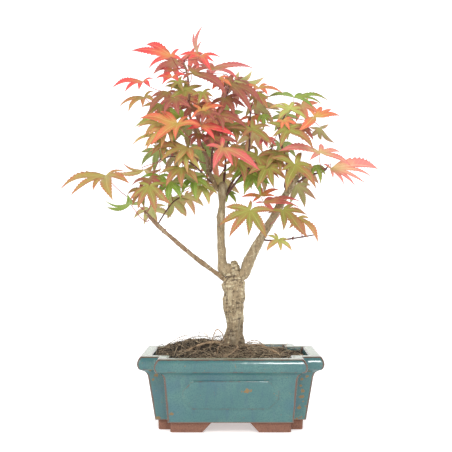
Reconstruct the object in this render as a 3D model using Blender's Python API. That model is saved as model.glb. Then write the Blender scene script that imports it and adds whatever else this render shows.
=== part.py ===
"""Japanese maple bonsai in a glazed pot, as separate closed solids.

Metres, +Z up, front of the tree towards -Y. The pot, the soil and the drain screens follow the pot's own
sizes. Everything above the soil is measured from the fork at the top of the trunk, so a taller trunk lifts
the whole crown. The last step centres the model over the origin, standing on Z = 0.
"""
import math

import bmesh
import bpy
import numpy as np
from mathutils import Matrix, Vector
from mathutils.bvhtree import BVHTree

MM = 0.001
CLEAR = 0.3 * MM  # gap that touching pieces keep

# Pot
POT_WIDTH = 200 * MM
POT_DEPTH = 141 * MM
POT_HEIGHT = 80 * MM
FOOT_HEIGHT = 11 * MM
FOOT_INSET = 22 * MM  # from the rim's outer face to the foot's
FOOT_THICKNESS = 13 * MM
FOOT_GAP_WIDTH = 41 * MM  # arch between two feet, at its top
FOOT_GAP_FLARE = 10 * MM  # how much wider the arch is at the ground, each side
BODY_INSET_TOP = 11 * MM  # from the rim's outer face to the wall under the lip
BODY_INSET_FOOT = 18.5 * MM
RIM_HEIGHT = 14 * MM
RIM_TOP = 13 * MM  # flat top of the rim, across
RIM_ROUND = 2.5 * MM
WALL = 7 * MM
FLOOR = 7 * MM
NOTCH_RIM = 20.5 * MM  # size of the indented corners
NOTCH_FOOT = 13.5 * MM
CORNER_ROUND = 2.5 * MM
CORNER_STEPS = 2
DRAIN_RADIUS = 7 * MM
DRAIN_SPACING = 76 * MM

# Drain screens and the wires that clip them
SCREEN_CELLS = 7
SCREEN_PITCH = 4 * MM
SCREEN_BAR = 1.2 * MM
SCREEN_THICKNESS = 1.2 * MM
WIRE_RADIUS = 0.6 * MM
WIRE_BEND = 1.2 * MM
WIRE_TAIL = 7 * MM  # how far each end is bent out under the floor

# Soil
SOIL_DROP = 4 * MM  # below the rim's top, at the wall
SOIL_RINGS = 9
SOIL_LUMPS = (  # x, y, height and radius of each swelling of the mound
    (2 * MM, 6 * MM, 9 * MM, 26 * MM),
    (-42 * MM, 14 * MM, 9 * MM, 30 * MM),
)

# Trunk, from its foot in the soil to the fork
TRUNK_X = 4 * MM
TRUNK_Y = 5 * MM
TRUNK_HEIGHT = 80 * MM  # from the soil to the fork
TRUNK_RADIUS = 10 * MM
TRUNK_DEPTH = 12 * MM  # in the soil
STUB_RADIUS = 4.5 * MM
STUB_HEIGHT = 16 * MM  # dead stub above the fork

# Crown: points in mm from the fork, as x, y, z and radius, times CROWN
CROWN = 1.0
LEAF = 1.0  # scale of the leaves alone
LEAF_THICKNESS = 0.8 * MM
LEAF_BOW = 0.10  # rise of a lobe's midrib, as a share of its length
LOBE_WIDTH = 0.15  # half width of a lobe, as a share of its length
SHOULDER = 0.42  # where a lobe is widest, as a share of its length, and the share of a gap it may take
RIB_SHARE = 0.8  # thickness halfway along a lobe, as a share of the thickness at the hub
STALK_RADIUS = 0.5 * MM
STALK_STEPS = 7
SEAT_STEP = 0.1 * MM  # how far a limb's start moves outward at each try
SEAT_TRIES = 130
SETTLE_STEP = 1.5 * MM
SETTLE_TRIES = 44

# Each limb or twig: name, parent, share of the way along the parent, points
BRANCHES = (
    ("leader", "trunk", 0.90,
     ((-12, 0, 8, 5.2), (-15, 1, 42, 4.4), (-14, 2, 74, 4.2), (-13, 3, 98, 4.6), (-13, 3, 106, 4.4))),
    ("left_limb", "trunk", 0.80,
     ((-42, -5, 18, 2.6), (-66, -9, 38, 2.3), (-87, -13, 57, 2.2), (-101, -15, 72, 1.6))),
    ("right_limb", "trunk", 0.86,
     ((20, 1, 22, 4.8), (32, 2, 42, 4.6), (52, 3, 78, 4.2), (68, 2, 106, 3.8), (74, 1, 111, 3.2))),
    ("upper_branch", "leader", 0.93,
     ((-28, -1, 116, 2.6), (-30, -3, 130, 2.3), (-35, -1, 142, 2.0), (-45, 3, 166, 1.7),
      (-50, 5, 180, 1.5), (-53, 5, 191, 1.4), (-51, 3, 205, 1.3), (-53, -1, 227, 1.1), (-57, -5, 241, 0.9))),
    ("left_twig", "upper_branch", 0.06,
     ((-42, -9, 121, 1.0), (-54, -15, 128, 0.9), (-70, -13, 133, 0.8), (-84, -5, 130, 0.7))),
    ("right_twig_inner", "leader", 0.90,
     ((6, 11, 120, 1.3), (17, 9, 141, 1.2), (18, 1, 163, 1.1), (19, -1, 188, 0.9))),
    ("right_twig_outer", "leader", 0.86,
     ((14, -7, 118, 1.3), (32, -3, 131, 1.1), (43, -11, 143, 0.8))),
    ("centre_twig", "upper_branch", 0.14,
     ((-24, -13, 141, 1.2), (-17, -17, 163, 1.1), (-11, -13, 191, 1.0), (-6, -9, 213, 0.9),
      (-7, -5, 225, 0.8))),
    ("back_twig", "leader", 0.97,
     ((-10, 20, 124, 1.5), (-8, 32, 148, 1.2), (-2, 40, 172, 0.9))),
    ("right_top_twig", "right_limb", 0.86,
     ((60, -3, 125, 1.3), (54, -3, 148, 1.2), (52, -1, 167, 1.1), (61, 1, 186, 0.9), (68, 1, 196, 0.8))),
    ("right_end_twig", "right_limb", 0.97,
     ((86, -3, 113, 1.3), (100, -11, 116, 1.0), (107, -15, 124, 0.8))),
    ("right_side_twig", "right_limb", 0.36,
     ((52, -5, 39, 0.9), (74, -9, 42, 0.8), (91, -11, 45, 0.7))),
    ("left_side_twig", "left_limb", 0.82,
     ((-77, -3, 72, 0.8), (-69, 3, 83, 0.7), (-60, 7, 89, 0.6))),
)

# Each leaf: name, twig, share of the way along it, hub in mm from the fork, the way its face looks as
# (degrees to the right, degrees up), and its lobes as (degrees from +X seen from the front, length in mm)
LEAVES = (
    ("leaf_orange_star", "upper_branch", 0.36, (-61, -55, 163), (-10, 30),
     ((35, 16), (140, 26), (170, 45), (220, 37), (265, 18), (355, 26))),
    ("leaf_salmon_centre", "centre_twig", 0.12, (-13, -57, 137), (15, 35),
     ((95, 14), (175, 18), (250, 26), (300, 24), (330, 47))),
    ("leaf_top_lilac", "upper_branch", 0.85, (-46, -47, 220), (0, 35),
     ((15, 20), (60, 12), (120, 12), (225, 14), (325, 47))),
    ("leaf_orange_right", "centre_twig", 0.25, (-36, -47, 162), (15, 35),
     ((5, 20), (150, 16), (195, 16), (315, 22), (345, 40))),
    ("leaf_right_star", "right_top_twig", 0.55, (57, -50, 159), (10, 30),
     ((15, 20), (165, 24), (210, 20), (250, 24), (320, 37))),
    ("leaf_low_star", "right_limb", 0.45, (17, -43, 71), (-5, 25),
     ((0, 27), (85, 12), (170, 28), (205, 38), (232, 38), (265, 29), (300, 35))),
    ("leaf_limb_front", "right_limb", 0.93, (66, -41, 121), (10, 30),
     ((60, 18), (165, 28), (205, 19), (250, 33), (310, 35), (355, 22))),
    ("leaf_centre_right", "right_twig_inner", 0.70, (19, -41, 160), (5, 40),
     ((10, 22), (90, 13), (175, 28), (225, 16), (320, 29))),
    ("leaf_left_olive", "left_limb", 0.97, (-92, -43, 98), (-10, 25),
     ((10, 18), (165, 14), (215, 27), (245, 29), (285, 33), (320, 32))),
    ("leaf_centre_olive", "upper_branch", 0.70, (-53, -39, 203), (-5, 25),
     ((15, 20), (85, 12), (170, 25), (210, 24), (270, 21), (330, 21))),
    ("leaf_diagonal_red", "centre_twig", 0.86, (-7, -37, 211), (20, 35),
     ((60, 14), (115, 12), (225, 16), (308, 45), (330, 47))),
    ("leaf_right_pink", "right_end_twig", 0.80, (94, -37, 134), (15, 45),
     ((75, 13), (175, 46), (215, 16), (335, 37), (5, 24))),
    ("leaf_low_right", "right_limb", 0.50, (53, -35, 72), (10, 35),
     ((25, 15), (195, 18), (270, 23), (310, 41), (350, 28))),
    ("leaf_left_broad", "upper_branch", 0.20, (-50, -35, 140), (-10, 50),
     ((185, 48), (205, 34), (235, 26), (290, 19), (345, 20))),
    ("leaf_right_orange", "right_top_twig", 0.75, (90, -31, 174), (20, 40),
     ((10, 32), (33, 24), (60, 18), (130, 13), (220, 28))),
    ("leaf_right_pale", "right_top_twig", 0.88, (62, -27, 184), (10, 35),
     ((5, 16), (60, 12), (150, 15), (180, 25), (225, 21), (325, 24))),
    ("leaf_green_upper", "left_twig", 0.60, (-53, -27, 116), (10, 45),
     ((65, 10), (180, 27), (225, 22), (305, 20), (350, 23))),
    ("leaf_right_olive", "right_twig_outer", 0.60, (26, -25, 132), (10, 25),
     ((10, 31), (110, 13), (165, 19), (205, 23), (280, 26), (312, 36), (342, 38))),
    ("leaf_top_long", "centre_twig", 1.0, (-26, -20, 229), (15, 60),
     ((10, 51), (110, 14), (155, 22), (270, 17), (340, 33))),
    ("leaf_far_right", "right_end_twig", 1.0, (108, -19, 119), (20, 50),
     ((0, 62), (60, 13), (310, 25), (330, 38), (345, 54))),
    ("leaf_far_left", "left_limb", 1.0, (-143, -20, 111), (-20, 50),
     ((15, 22), (195, 56), (212, 44), (240, 22), (295, 32), (340, 32))),
    ("leaf_left_low", "left_limb", 0.90, (-116, -17, 79), (-20, 40),
     ((190, 27), (215, 29), (240, 25), (275, 18), (310, 19))),
    ("leaf_top_coral", "upper_branch", 0.93, (-71, -15, 246), (-15, 35),
     ((45, 14), (145, 39), (166, 50), (210, 30), (335, 15))),
    ("leaf_small_orange", "right_limb", 0.62, (30, -17, 88), (0, 40),
     ((0, 17), (22, 23), (85, 12), (180, 23), (215, 13))),
    ("leaf_top_pink", "upper_branch", 1.0, (-41, -5, 253), (0, 30),
     ((75, 17), (135, 31), (160, 25), (200, 20), (350, 24))),
    ("leaf_pink_curved", "upper_branch", 0.78, (-104, -3, 220), (-20, 50),
     ((20, 13), (190, 37), (214, 24), (255, 13), (320, 13))),
    ("leaf_big_green", "upper_branch", 0.50, (-60, -1, 180), (-20, 30),
     ((25, 20), (100, 18), (155, 28), (188, 58), (206, 44), (305, 20))),
    ("leaf_green_under", "right_twig_outer", 0.30, (15, 1, 125), (10, 35),
     ((10, 18), (195, 28), (225, 28), (280, 29), (315, 34))),
    ("leaf_top_right", "right_top_twig", 1.0, (69, 1, 203), (15, 50),
     ((20, 15), (160, 16), (185, 32), (325, 26), (342, 36), (357, 43))),
    ("leaf_left_thin", "left_twig", 0.95, (-100, 3, 123), (-10, 65),
     ((20, 15), (178, 45), (200, 27), (300, 13))),
    ("leaf_left_hanging", "left_side_twig", 0.75, (-71, 7, 89), (-10, 25),
     ((135, 14), (190, 18), (260, 27), (305, 30), (350, 22))),
    ("leaf_yellow_pink", "centre_twig", 0.93, (3, 9, 224), (10, 50),
     ((10, 34), (40, 25), (75, 14), (195, 13), (340, 19))),
    ("leaf_green_lower", "left_side_twig", 0.95, (-49, 17, 103), (10, 30),
     ((0, 20), (190, 28), (228, 27), (280, 33), (315, 41))),
    ("leaf_tan_left", "upper_branch", 0.60, (-104, 11, 205), (-20, 45),
     ((35, 14), (200, 33), (230, 26), (270, 15), (330, 16))),
    ("leaf_right_droop", "right_top_twig", 0.84, (100, 15, 170), (20, 40),
     ((25, 14), (175, 15), (230, 16), (270, 17), (308, 26))),
    ("leaf_back_top", "back_twig", 1.0, (-12, 52, 190), (170, 35),
     ((10, 26), (60, 20), (170, 28), (215, 34), (265, 38), (315, 34))),
    ("leaf_back_low", "back_twig", 0.45, (26, 46, 132), (150, 35),
     ((20, 26), (150, 20), (200, 28), (250, 36), (290, 38), (330, 32))),
)

# Each surface root: name, height of its arch over the soil, and its way over the mound in mm from the trunk
ROOTS = (
    ("root_left", 5, ((-14, -3), (-26, -9), (-40, -16), (-54, -20))),
    ("root_right", 7, ((14, -2), (24, -8), (36, -14), (50, -18))),
    ("root_front", 3, ((4, -14), (3, -24), (-3, -36), (-12, -46))),
)
ROOT_RADIUS = 1.5 * MM
ROOTS_DRAWN_FOR = 10 * MM  # trunk radius that the ways above were drawn for

GLAZE = "5F9391"
SOIL_BROWN = "5A4330"
BARK = "9A8566"
YOUNG_BARK = "6B4038"
LEAF_COLOURS = {
    "coral": "EE6E5C", "pink": "DD6070", "orange": "E8874F", "mauve": "A9606A", "olive": "9C8A45",
    "green": "86A03C", "pale": "B9BC74", "tan": "CBA35F",
}
LEAF_TINTS = {
    "leaf_orange_star": "orange", "leaf_salmon_centre": "pink", "leaf_top_lilac": "mauve",
    "leaf_orange_right": "coral", "leaf_diagonal_red": "mauve", "leaf_right_pink": "pink",
    "leaf_left_broad": "orange", "leaf_right_orange": "orange", "leaf_right_pale": "pale",
    "leaf_green_upper": "green", "leaf_top_long": "pink", "leaf_far_right": "coral",
    "leaf_far_left": "tan", "leaf_left_low": "green", "leaf_top_coral": "coral",
    "leaf_small_orange": "orange", "leaf_top_pink": "pink", "leaf_pink_curved": "coral",
    "leaf_big_green": "green", "leaf_green_under": "green", "leaf_top_right": "green",
    "leaf_left_thin": "tan", "leaf_left_hanging": "pale", "leaf_yellow_pink": "pale",
    "leaf_green_lower": "green", "leaf_tan_left": "tan", "leaf_back_top": "green",
}


def clear_scene():
    """Remove the objects that the file opened with."""
    for obj in list(bpy.data.objects):
        bpy.data.objects.remove(obj)


def material(name, colour, roughness, metallic=0.0):
    """A Principled material in a hexadecimal sRGB colour."""
    channels = [int(colour[i:i + 2], 16) / 255 for i in (0, 2, 4)]
    linear = [c / 12.92 if c <= 0.04045 else ((c + 0.055) / 1.055) ** 2.4 for c in channels]
    made = bpy.data.materials.new(name)
    made.use_nodes = True
    shader = made.node_tree.nodes["Principled BSDF"]
    shader.inputs["Base Color"].default_value = (*linear, 1.0)
    shader.inputs["Roughness"].default_value = roughness
    shader.inputs["Metallic"].default_value = metallic
    made.diffuse_color = (*linear, 1.0)
    return made


def add_mesh(name, bm, look, smooth_angle=None):
    """Link a new object that holds the bmesh, facing outward."""
    bmesh.ops.recalc_face_normals(bm, faces=bm.faces)
    mesh = bpy.data.meshes.new(name)
    bm.to_mesh(mesh)
    bm.free()
    if smooth_angle is not None:
        mesh.shade_smooth()
        mesh.set_sharp_from_angle(angle=math.radians(smooth_angle))
    obj = bpy.data.objects.new(name, mesh)
    obj.data.materials.append(look)
    bpy.context.collection.objects.link(obj)
    return obj


def cut(target, cutter):
    """Subtract the cutter from the target, and hide the cutter."""
    cutter.hide_render = True
    cutter.display_type = "WIRE"
    cutter.hide_set(True)
    step = target.modifiers.new("cut_" + cutter.name, "BOOLEAN")
    step.operation = "DIFFERENCE"
    step.object = cutter
    step.solver = "EXACT"


def loft(rings):
    """Bridge rings that have as many points each, and close the first and the last."""
    bm = bmesh.new()
    loops = [[bm.verts.new(p) for p in ring] for ring in rings]
    count = len(loops[0])
    for low, high in zip(loops, loops[1:]):
        for i in range(count):
            j = (i + 1) % count
            bm.faces.new((low[i], low[j], high[j], high[i]))
    bm.faces.new(reversed(loops[0]))
    bm.faces.new(loops[-1])
    return bm


def box(name, low, high, look):
    """A plain box between two corners."""
    bm = bmesh.new()
    size = Vector(high) - Vector(low)
    place = Matrix.Translation((Vector(low) + Vector(high)) / 2) @ Matrix.Diagonal((*size, 1.0))
    bmesh.ops.create_cube(bm, size=1.0, matrix=place)
    return add_mesh(name, bm, look)


def cylinder(name, centre, radius, low, high, look, sides=24):
    """An upright cylinder between two heights."""
    bm = bmesh.new()
    place = Matrix.Translation((centre[0], centre[1], (low + high) / 2))
    bmesh.ops.create_cone(bm, cap_ends=True, segments=sides, radius1=radius, radius2=radius,
                          depth=high - low, matrix=place)
    return add_mesh(name, bm, look, 40)


# ---------------------------------------------------------------- pot

def notch_at(height):
    """Size of the indented corners: it grows evenly from the foot to the rim."""
    return NOTCH_FOOT + (NOTCH_RIM - NOTCH_FOOT) * height / POT_HEIGHT


def outline(inset, height, notch_height=None):
    """The pot's outline at a height, a rectangle with square indented corners, moved in by the inset."""
    half_x = POT_WIDTH / 2 - inset
    half_y = POT_DEPTH / 2 - inset
    notch = notch_at(height if notch_height is None else notch_height)
    quarter = ((half_x, half_y - notch), (half_x - notch, half_y - notch), (half_x - notch, half_y))
    corners = []
    for sx, sy, order in ((1, 1, 1), (-1, 1, -1), (-1, -1, 1), (1, -1, -1)):
        corners += [(sx * x, sy * y) for x, y in quarter[::order]]
    points = []
    for i, corner in enumerate(corners):
        here = Vector(corner)
        to_last = (Vector(corners[i - 1]) - here).normalized()
        to_next = (Vector(corners[(i + 1) % len(corners)]) - here).normalized()
        start = here + to_last * CORNER_ROUND
        end = here + to_next * CORNER_ROUND
        for step in range(CORNER_STEPS + 1):
            t = step / CORNER_STEPS
            bent = start.lerp(here, t).lerp(here.lerp(end, t), t)
            points.append((bent.x, bent.y, height))
    return points


def wall_inset(height):
    """How far the outer wall stands in from the rim's outer face."""
    share = (height - FOOT_HEIGHT) / (POT_HEIGHT - RIM_HEIGHT - FOOT_HEIGHT)
    return BODY_INSET_FOOT + (BODY_INSET_TOP - BODY_INSET_FOOT) * min(share, 1.0)


def inner_inset(height):
    """How far the inner wall stands in from the rim's outer face."""
    return max(wall_inset(height) + WALL, RIM_TOP + RIM_ROUND)


def make_pot():
    """One fired piece: feet, tapering wall, thick rounded rim, hollow inside and two drain holes."""
    look = material("glazed_stoneware", GLAZE, 0.15)
    lip = POT_HEIGHT - RIM_HEIGHT
    floor = FOOT_HEIGHT + FLOOR
    profile = [
        (FOOT_INSET + FOOT_THICKNESS, FOOT_HEIGHT), (FOOT_INSET + FOOT_THICKNESS, 0.0),
        (FOOT_INSET, 0.0), (FOOT_INSET, FOOT_HEIGHT), (BODY_INSET_FOOT, FOOT_HEIGHT + 0.5 * MM),
        (BODY_INSET_TOP, lip - 5 * MM), (BODY_INSET_TOP - 1.5 * MM, lip - 1.5 * MM),
        (RIM_ROUND * 1.4, lip), (RIM_ROUND * 0.4, lip + RIM_ROUND), (0.0, lip + 2 * RIM_ROUND),
        (0.0, POT_HEIGHT - 2 * RIM_ROUND), (RIM_ROUND * 0.3, POT_HEIGHT - RIM_ROUND * 0.7),
        (RIM_ROUND, POT_HEIGHT), (RIM_TOP, POT_HEIGHT),
        (RIM_TOP + RIM_ROUND, POT_HEIGHT - RIM_ROUND),
        (inner_inset(lip), lip), (inner_inset(floor + 5 * MM), floor + 5 * MM),
        (inner_inset(floor) + 4 * MM, floor),
    ]
    pot = add_mesh("pot", loft([outline(inset, height) for inset, height in profile]), look, 35)
    gap = FOOT_GAP_WIDTH / 2
    for name, turn, reach in (("front", 0.0, POT_DEPTH), ("side", math.pi / 2, POT_WIDTH)):
        share = 1.0 if name == "front" else POT_DEPTH / POT_WIDTH
        ends = []
        for y in (-reach, reach):
            low = -FOOT_HEIGHT
            wide = gap * share + FOOT_GAP_FLARE * 2
            top = FOOT_HEIGHT - 0.5 * MM
            ends.append([(-wide, y, low), (wide, y, low), (gap * share, y, top), (-gap * share, y, top)])
        cutter = add_mesh("foot_gap_" + name, loft(ends), look)
        cutter.rotation_euler.z = turn
        cut(pot, cutter)
    for side, x in drain_places():
        hole = cylinder("drain_hole_" + side, (x, 0.0), DRAIN_RADIUS, 0.0, 2 * floor, look)
        cut(pot, hole)
    return pot


def drain_places():
    """Names and X positions of the two drain holes."""
    return (("left", -DRAIN_SPACING / 2), ("right", DRAIN_SPACING / 2))


# ---------------------------------------------------------------- drain screens and wires

def screen_mesh(size, holes):
    """A square plate on the pot's floor, with a grid of square holes where holes is set."""
    pitch = SCREEN_PITCH
    half = size / 2
    cuts = [-half]
    if holes:
        first = -pitch * (SCREEN_CELLS - 1) / 2
        for i in range(SCREEN_CELLS):
            middle = first + i * pitch
            cuts += [middle - (pitch - SCREEN_BAR) / 2, middle + (pitch - SCREEN_BAR) / 2]
    cuts.append(half)
    bm = bmesh.new()
    grid = [[bm.verts.new((x, y, 0.0)) for y in cuts] for x in cuts]
    for i in range(len(cuts) - 1):
        for j in range(len(cuts) - 1):
            if i % 2 == 0 or j % 2 == 0:
                bm.faces.new((grid[i][j], grid[i + 1][j], grid[i + 1][j + 1], grid[i][j + 1]))
    return bm


def screen_size():
    """Outer size of a drain screen."""
    return SCREEN_CELLS * SCREEN_PITCH + SCREEN_BAR


def wire_top():
    """Height of the top of the wires' loops, over the screens."""
    return FOOT_HEIGHT + FLOOR + SCREEN_THICKNESS + WIRE_BEND + WIRE_RADIUS + 2 * CLEAR


def make_screens():
    """A plastic drain screen over each hole, and the wire that clips it to the pot."""
    plastic = material("green_plastic_mesh", "2F4A38", 0.5)
    wire_look = material("aluminium_wire", "8A8178", 0.35, 1.0)
    base = FOOT_HEIGHT + FLOOR + CLEAR
    under = FOOT_HEIGHT - WIRE_RADIUS - CLEAR
    over = wire_top() - WIRE_RADIUS
    leg = SCREEN_PITCH
    bend = WIRE_BEND
    for side, x in drain_places():
        screen = add_mesh("drain_screen_" + side, screen_mesh(screen_size(), True), plastic)
        screen.location = (x, 0.0, base)
        thick = screen.modifiers.new("thickness", "SOLIDIFY")
        thick.thickness = SCREEN_THICKNESS
        thick.offset = 1.0
        tail = DRAIN_RADIUS + WIRE_TAIL
        route = [(-tail, under), (-leg - bend, under), (-leg, under + bend), (-leg, over - bend),
                 (-leg + bend, over)]
        route += [(-a, b) for a, b in reversed(route)]
        points = [(x + a, 0.0, b, WIRE_RADIUS) for a, b in route]
        tube("screen_wire_" + side, points, wire_look, 2)


def screen_pockets(look):
    """Room that the soil leaves for the screens and for the loops of their wires."""
    base = FOOT_HEIGHT + FLOOR - MM
    half = screen_size() / 2 + CLEAR
    top = FOOT_HEIGHT + FLOOR + SCREEN_THICKNESS + 2 * CLEAR
    leg = SCREEN_PITCH + WIRE_RADIUS + CLEAR
    wide = WIRE_RADIUS + CLEAR
    loop = wire_top() + CLEAR
    pockets = []
    for side, x in drain_places():
        pockets.append(box("pocket_" + side, (x - half, -half, base), (x + half, half, top), look))
        pockets.append(box("wire_pocket_" + side, (x - leg, -wide, base), (x + leg, wide, loop), look))
    return pockets


# ---------------------------------------------------------------- soil

def soil_height(x, y):
    """Height of the soil's surface: level below the rim, with round swellings that sink to the walls."""
    level = POT_HEIGHT - SOIL_DROP
    for cx, cy, high, spread in SOIL_LUMPS:
        away = ((x - cx) ** 2 + (y - cy) ** 2) / spread ** 2
        level += high * math.exp(-away)
    return level


def make_soil():
    """The root ball: it fills the pot and swells over the rim at the trunk and on the left."""
    look = material("potting_soil", SOIL_BROWN, 0.95)
    floor = FOOT_HEIGHT + FLOOR
    edge = POT_HEIGHT - SOIL_DROP
    lip = POT_HEIGHT - RIM_HEIGHT
    rings = [
        outline(inner_inset(floor) + 4 * MM + 3 * CLEAR, floor + CLEAR),
        outline(inner_inset(floor + 5 * MM) + CLEAR, floor + 5 * MM),
        outline(inner_inset(lip) + CLEAR, lip),
        outline(inner_inset(edge) + CLEAR, edge),
    ]
    rim_ring = outline(inner_inset(edge) + CLEAR, edge)
    middle = Vector((TRUNK_X, TRUNK_Y))
    for step in range(1, SOIL_RINGS):
        share = 1 - step / SOIL_RINGS
        ring = []
        for x, y, _ in rim_ring:
            place = middle + (Vector((x, y)) - middle) * share
            height = soil_height(place.x, place.y)
            ring.append((place.x, place.y, edge + (height - edge) * min(1.0, step / 2)))
        rings.append(ring)
    soil = add_mesh("soil", loft(rings), look, 60)
    for pocket in screen_pockets(look):
        cut(soil, pocket)
    core = tube("trunk_core", [(x, y, z, r + CLEAR) for x, y, z, r in trunk_points(CLEAR)], look, 5)
    cut(soil, solid_of(core, "trunk_socket"))
    bpy.data.objects.remove(core)
    return soil


# ---------------------------------------------------------------- wood

def smooth_path(points, spacing):
    """Catmull-Rom curve through points of (x, y, z, radius), sampled about every spacing."""
    rows = np.array(points, float)
    ends = np.vstack([2 * rows[0] - rows[1], rows, 2 * rows[-1] - rows[-2]])
    path = [rows[0]]
    for a, b, c, d in zip(ends, ends[1:], ends[2:], ends[3:]):
        steps = max(2, round(float(np.linalg.norm((c - b)[:3])) / spacing))
        for step in range(1, steps + 1):
            t = step / steps
            path.append(0.5 * (2 * b + (c - a) * t + (2 * a - 5 * b + 4 * c - d) * t * t
                               + (3 * b - a - 3 * c + d) * t ** 3))
    return np.array(path)


def tube(name, path, look, resolution):
    """A round closed tube through points of (x, y, z, radius): a bevelled curve with filled caps."""
    curve = bpy.data.curves.new(name, "CURVE")
    curve.dimensions = "3D"
    curve.bevel_depth = MM
    curve.bevel_resolution = resolution
    curve.use_fill_caps = True
    spline = curve.splines.new("POLY")
    spline.points.add(len(path) - 1)
    for point, (x, y, z, radius) in zip(spline.points, path):
        point.co = (x, y, z, 1.0)
        point.radius = radius / MM
    curve.materials.append(look)
    obj = bpy.data.objects.new(name, curve)
    bpy.context.collection.objects.link(obj)
    return obj


def solid_of(curve_object, name):
    """A mesh object in the shape of a curve object."""
    bpy.context.view_layer.update()
    graph = bpy.context.evaluated_depsgraph_get()
    mesh = bpy.data.meshes.new_from_object(curve_object.evaluated_get(graph))
    obj = bpy.data.objects.new(name, mesh)
    bpy.context.collection.objects.link(obj)
    return obj


def tree_of(obj):
    """Search tree of a finished object's own shape."""
    bpy.context.view_layer.update()
    graph = bpy.context.evaluated_depsgraph_get()
    shape = obj.evaluated_get(graph)
    mesh = shape.to_mesh()
    bm = bmesh.new()
    bm.from_mesh(mesh)
    bm.transform(obj.matrix_world)
    shape.to_mesh_clear()
    tree = BVHTree.FromBMesh(bm)
    bm.free()
    return tree


def trunk_points(extra_depth=0.0):
    """The trunk's centre line and radii: flared foot, knobbly top, and the dead stub."""
    ground = soil_height(TRUNK_X, TRUNK_Y)
    fork = fork_place()
    r = TRUNK_RADIUS
    points = [
        (TRUNK_X, TRUNK_Y, ground - TRUNK_DEPTH - extra_depth, r * 1.15),
        (TRUNK_X, TRUNK_Y, ground - 2 * MM, r * 1.22),
        (TRUNK_X, TRUNK_Y, ground + 6 * MM, r * 1.08),
        (TRUNK_X + 0.5 * MM, TRUNK_Y, ground + TRUNK_HEIGHT * 0.30, r * 0.93),
        (TRUNK_X - 0.5 * MM, TRUNK_Y, ground + TRUNK_HEIGHT * 0.52, r * 1.04),
        (TRUNK_X + 0.5 * MM, TRUNK_Y, ground + TRUNK_HEIGHT * 0.74, r * 1.16),
        (TRUNK_X, TRUNK_Y, ground + TRUNK_HEIGHT * 0.88, r * 1.12),
        (fork.x + 0.5 * MM, fork.y, fork.z, STUB_RADIUS * 1.45),
        (fork.x + 1.0 * MM, fork.y, fork.z + STUB_HEIGHT * 0.6, STUB_RADIUS),
        (fork.x + 0.5 * MM, fork.y, fork.z + STUB_HEIGHT, STUB_RADIUS * 0.8),
    ]
    return smooth_path(points, 6 * MM)


def fork_place():
    """The fork at the top of the trunk, from which the crown is measured."""
    return Vector((TRUNK_X, TRUNK_Y, soil_height(TRUNK_X, TRUNK_Y) + TRUNK_HEIGHT))


def crown_point(point):
    """A place in mm from the fork, as a place in the model."""
    return fork_place() + Vector(point[:3]) * MM * CROWN


def along(path, share):
    """Place, direction and radius at a share of the way along a path."""
    steps = np.linalg.norm(np.diff(path[:, :3], axis=0), axis=1)
    travel = np.concatenate([[0.0], np.cumsum(steps)])
    want = share * travel[-1]
    i = min(int(np.searchsorted(travel, want, side="right")) - 1, len(path) - 2)
    t = (want - travel[i]) / steps[i]
    row = path[i] + (path[i + 1] - path[i]) * t
    heading = Vector(path[i + 1][:3] - path[i][:3]).normalized()
    return Vector(row[:3]), heading, float(row[3])


def seat_on(path, share, target, radius):
    """Where a twig of that radius starts: beside the parent's bark, on the side that faces the target."""
    place, heading, parent_radius = along(path, share)
    if share >= 1.0:
        return place + heading * (CLEAR + radius * 0.2), heading
    aim = target - place
    outward = (aim - heading * aim.dot(heading)).normalized()
    lean = abs(aim.normalized().dot(heading))
    return place + outward * (parent_radius + CLEAR + radius * lean), outward


def make_wood():
    """Trunk, limbs and twigs. Gives every piece's path, for what grows on it."""
    bark = material("maple_bark", BARK, 0.85)
    young = material("young_bark", YOUNG_BARK, 0.6)
    paths = {"trunk": trunk_points()}
    placed = [tree_of(tube("trunk", paths["trunk"], bark, 5))]
    for name, parent, share, points in BRANCHES:
        body = [(*crown_point(p), p[3] * MM) for p in points]
        radius = body[0][3]
        start, outward = seat_on(paths[parent], share, Vector(body[0][:3]), radius)
        thick = radius >= 2 * MM
        for push in range(SEAT_TRIES):
            base = start + outward * push * SEAT_STEP
            paths[name] = smooth_path([(*base, radius)] + body, (9 if thick else 7) * MM * CROWN)
            swollen = paths[name] + (0.0, 0.0, 0.0, CLEAR)
            trial = tube("trial", swollen, young, 2)
            tree = tree_of(trial)
            bpy.data.objects.remove(trial)
            if not any(tree.overlap(other) for other in placed):
                break
        placed.append(tree_of(tube(name, paths[name], bark if thick else young, 3 if thick else 2)))
    return paths


def make_roots():
    """Thin roots that arch over the mound from the foot of the trunk."""
    look = material("root_bark", "A08A68", 0.9)
    spread = MM * TRUNK_RADIUS / ROOTS_DRAWN_FOR
    for name, arch, way in ROOTS:
        points = []
        for i, (x, y) in enumerate(way):
            place_x = TRUNK_X + x * spread
            place_y = TRUNK_Y + y * spread
            lift = arch * MM * math.sin(math.pi * i / (len(way) - 1))
            radius = ROOT_RADIUS * (1.3 - 0.5 * i / (len(way) - 1))
            height = soil_height(place_x, place_y) + radius + 2 * CLEAR + lift
            points.append((place_x, place_y, height, radius))
        tube(name, smooth_path(points, 5 * MM), look, 2)


# ---------------------------------------------------------------- leaves

def face_direction(turn, nod):
    """Unit vector that a leaf faces: turned to the right of the front, then lifted."""
    turn, nod = math.radians(turn), math.radians(nod)
    return Vector((math.sin(turn) * math.cos(nod), -math.cos(turn) * math.cos(nod), math.sin(nod)))


def lobe_tips(lobes, face):
    """Tips from the hub: each lies in the leaf's plane and shows its angle and length from the front."""
    tips = []
    for degrees, length in lobes:
        x = math.cos(math.radians(degrees)) * length
        z = math.sin(math.radians(degrees)) * length
        y = -(face.x * x + face.z * z) / face.y
        tips.append(Vector((x, y, z)) * MM * LEAF)
    return tips


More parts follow.
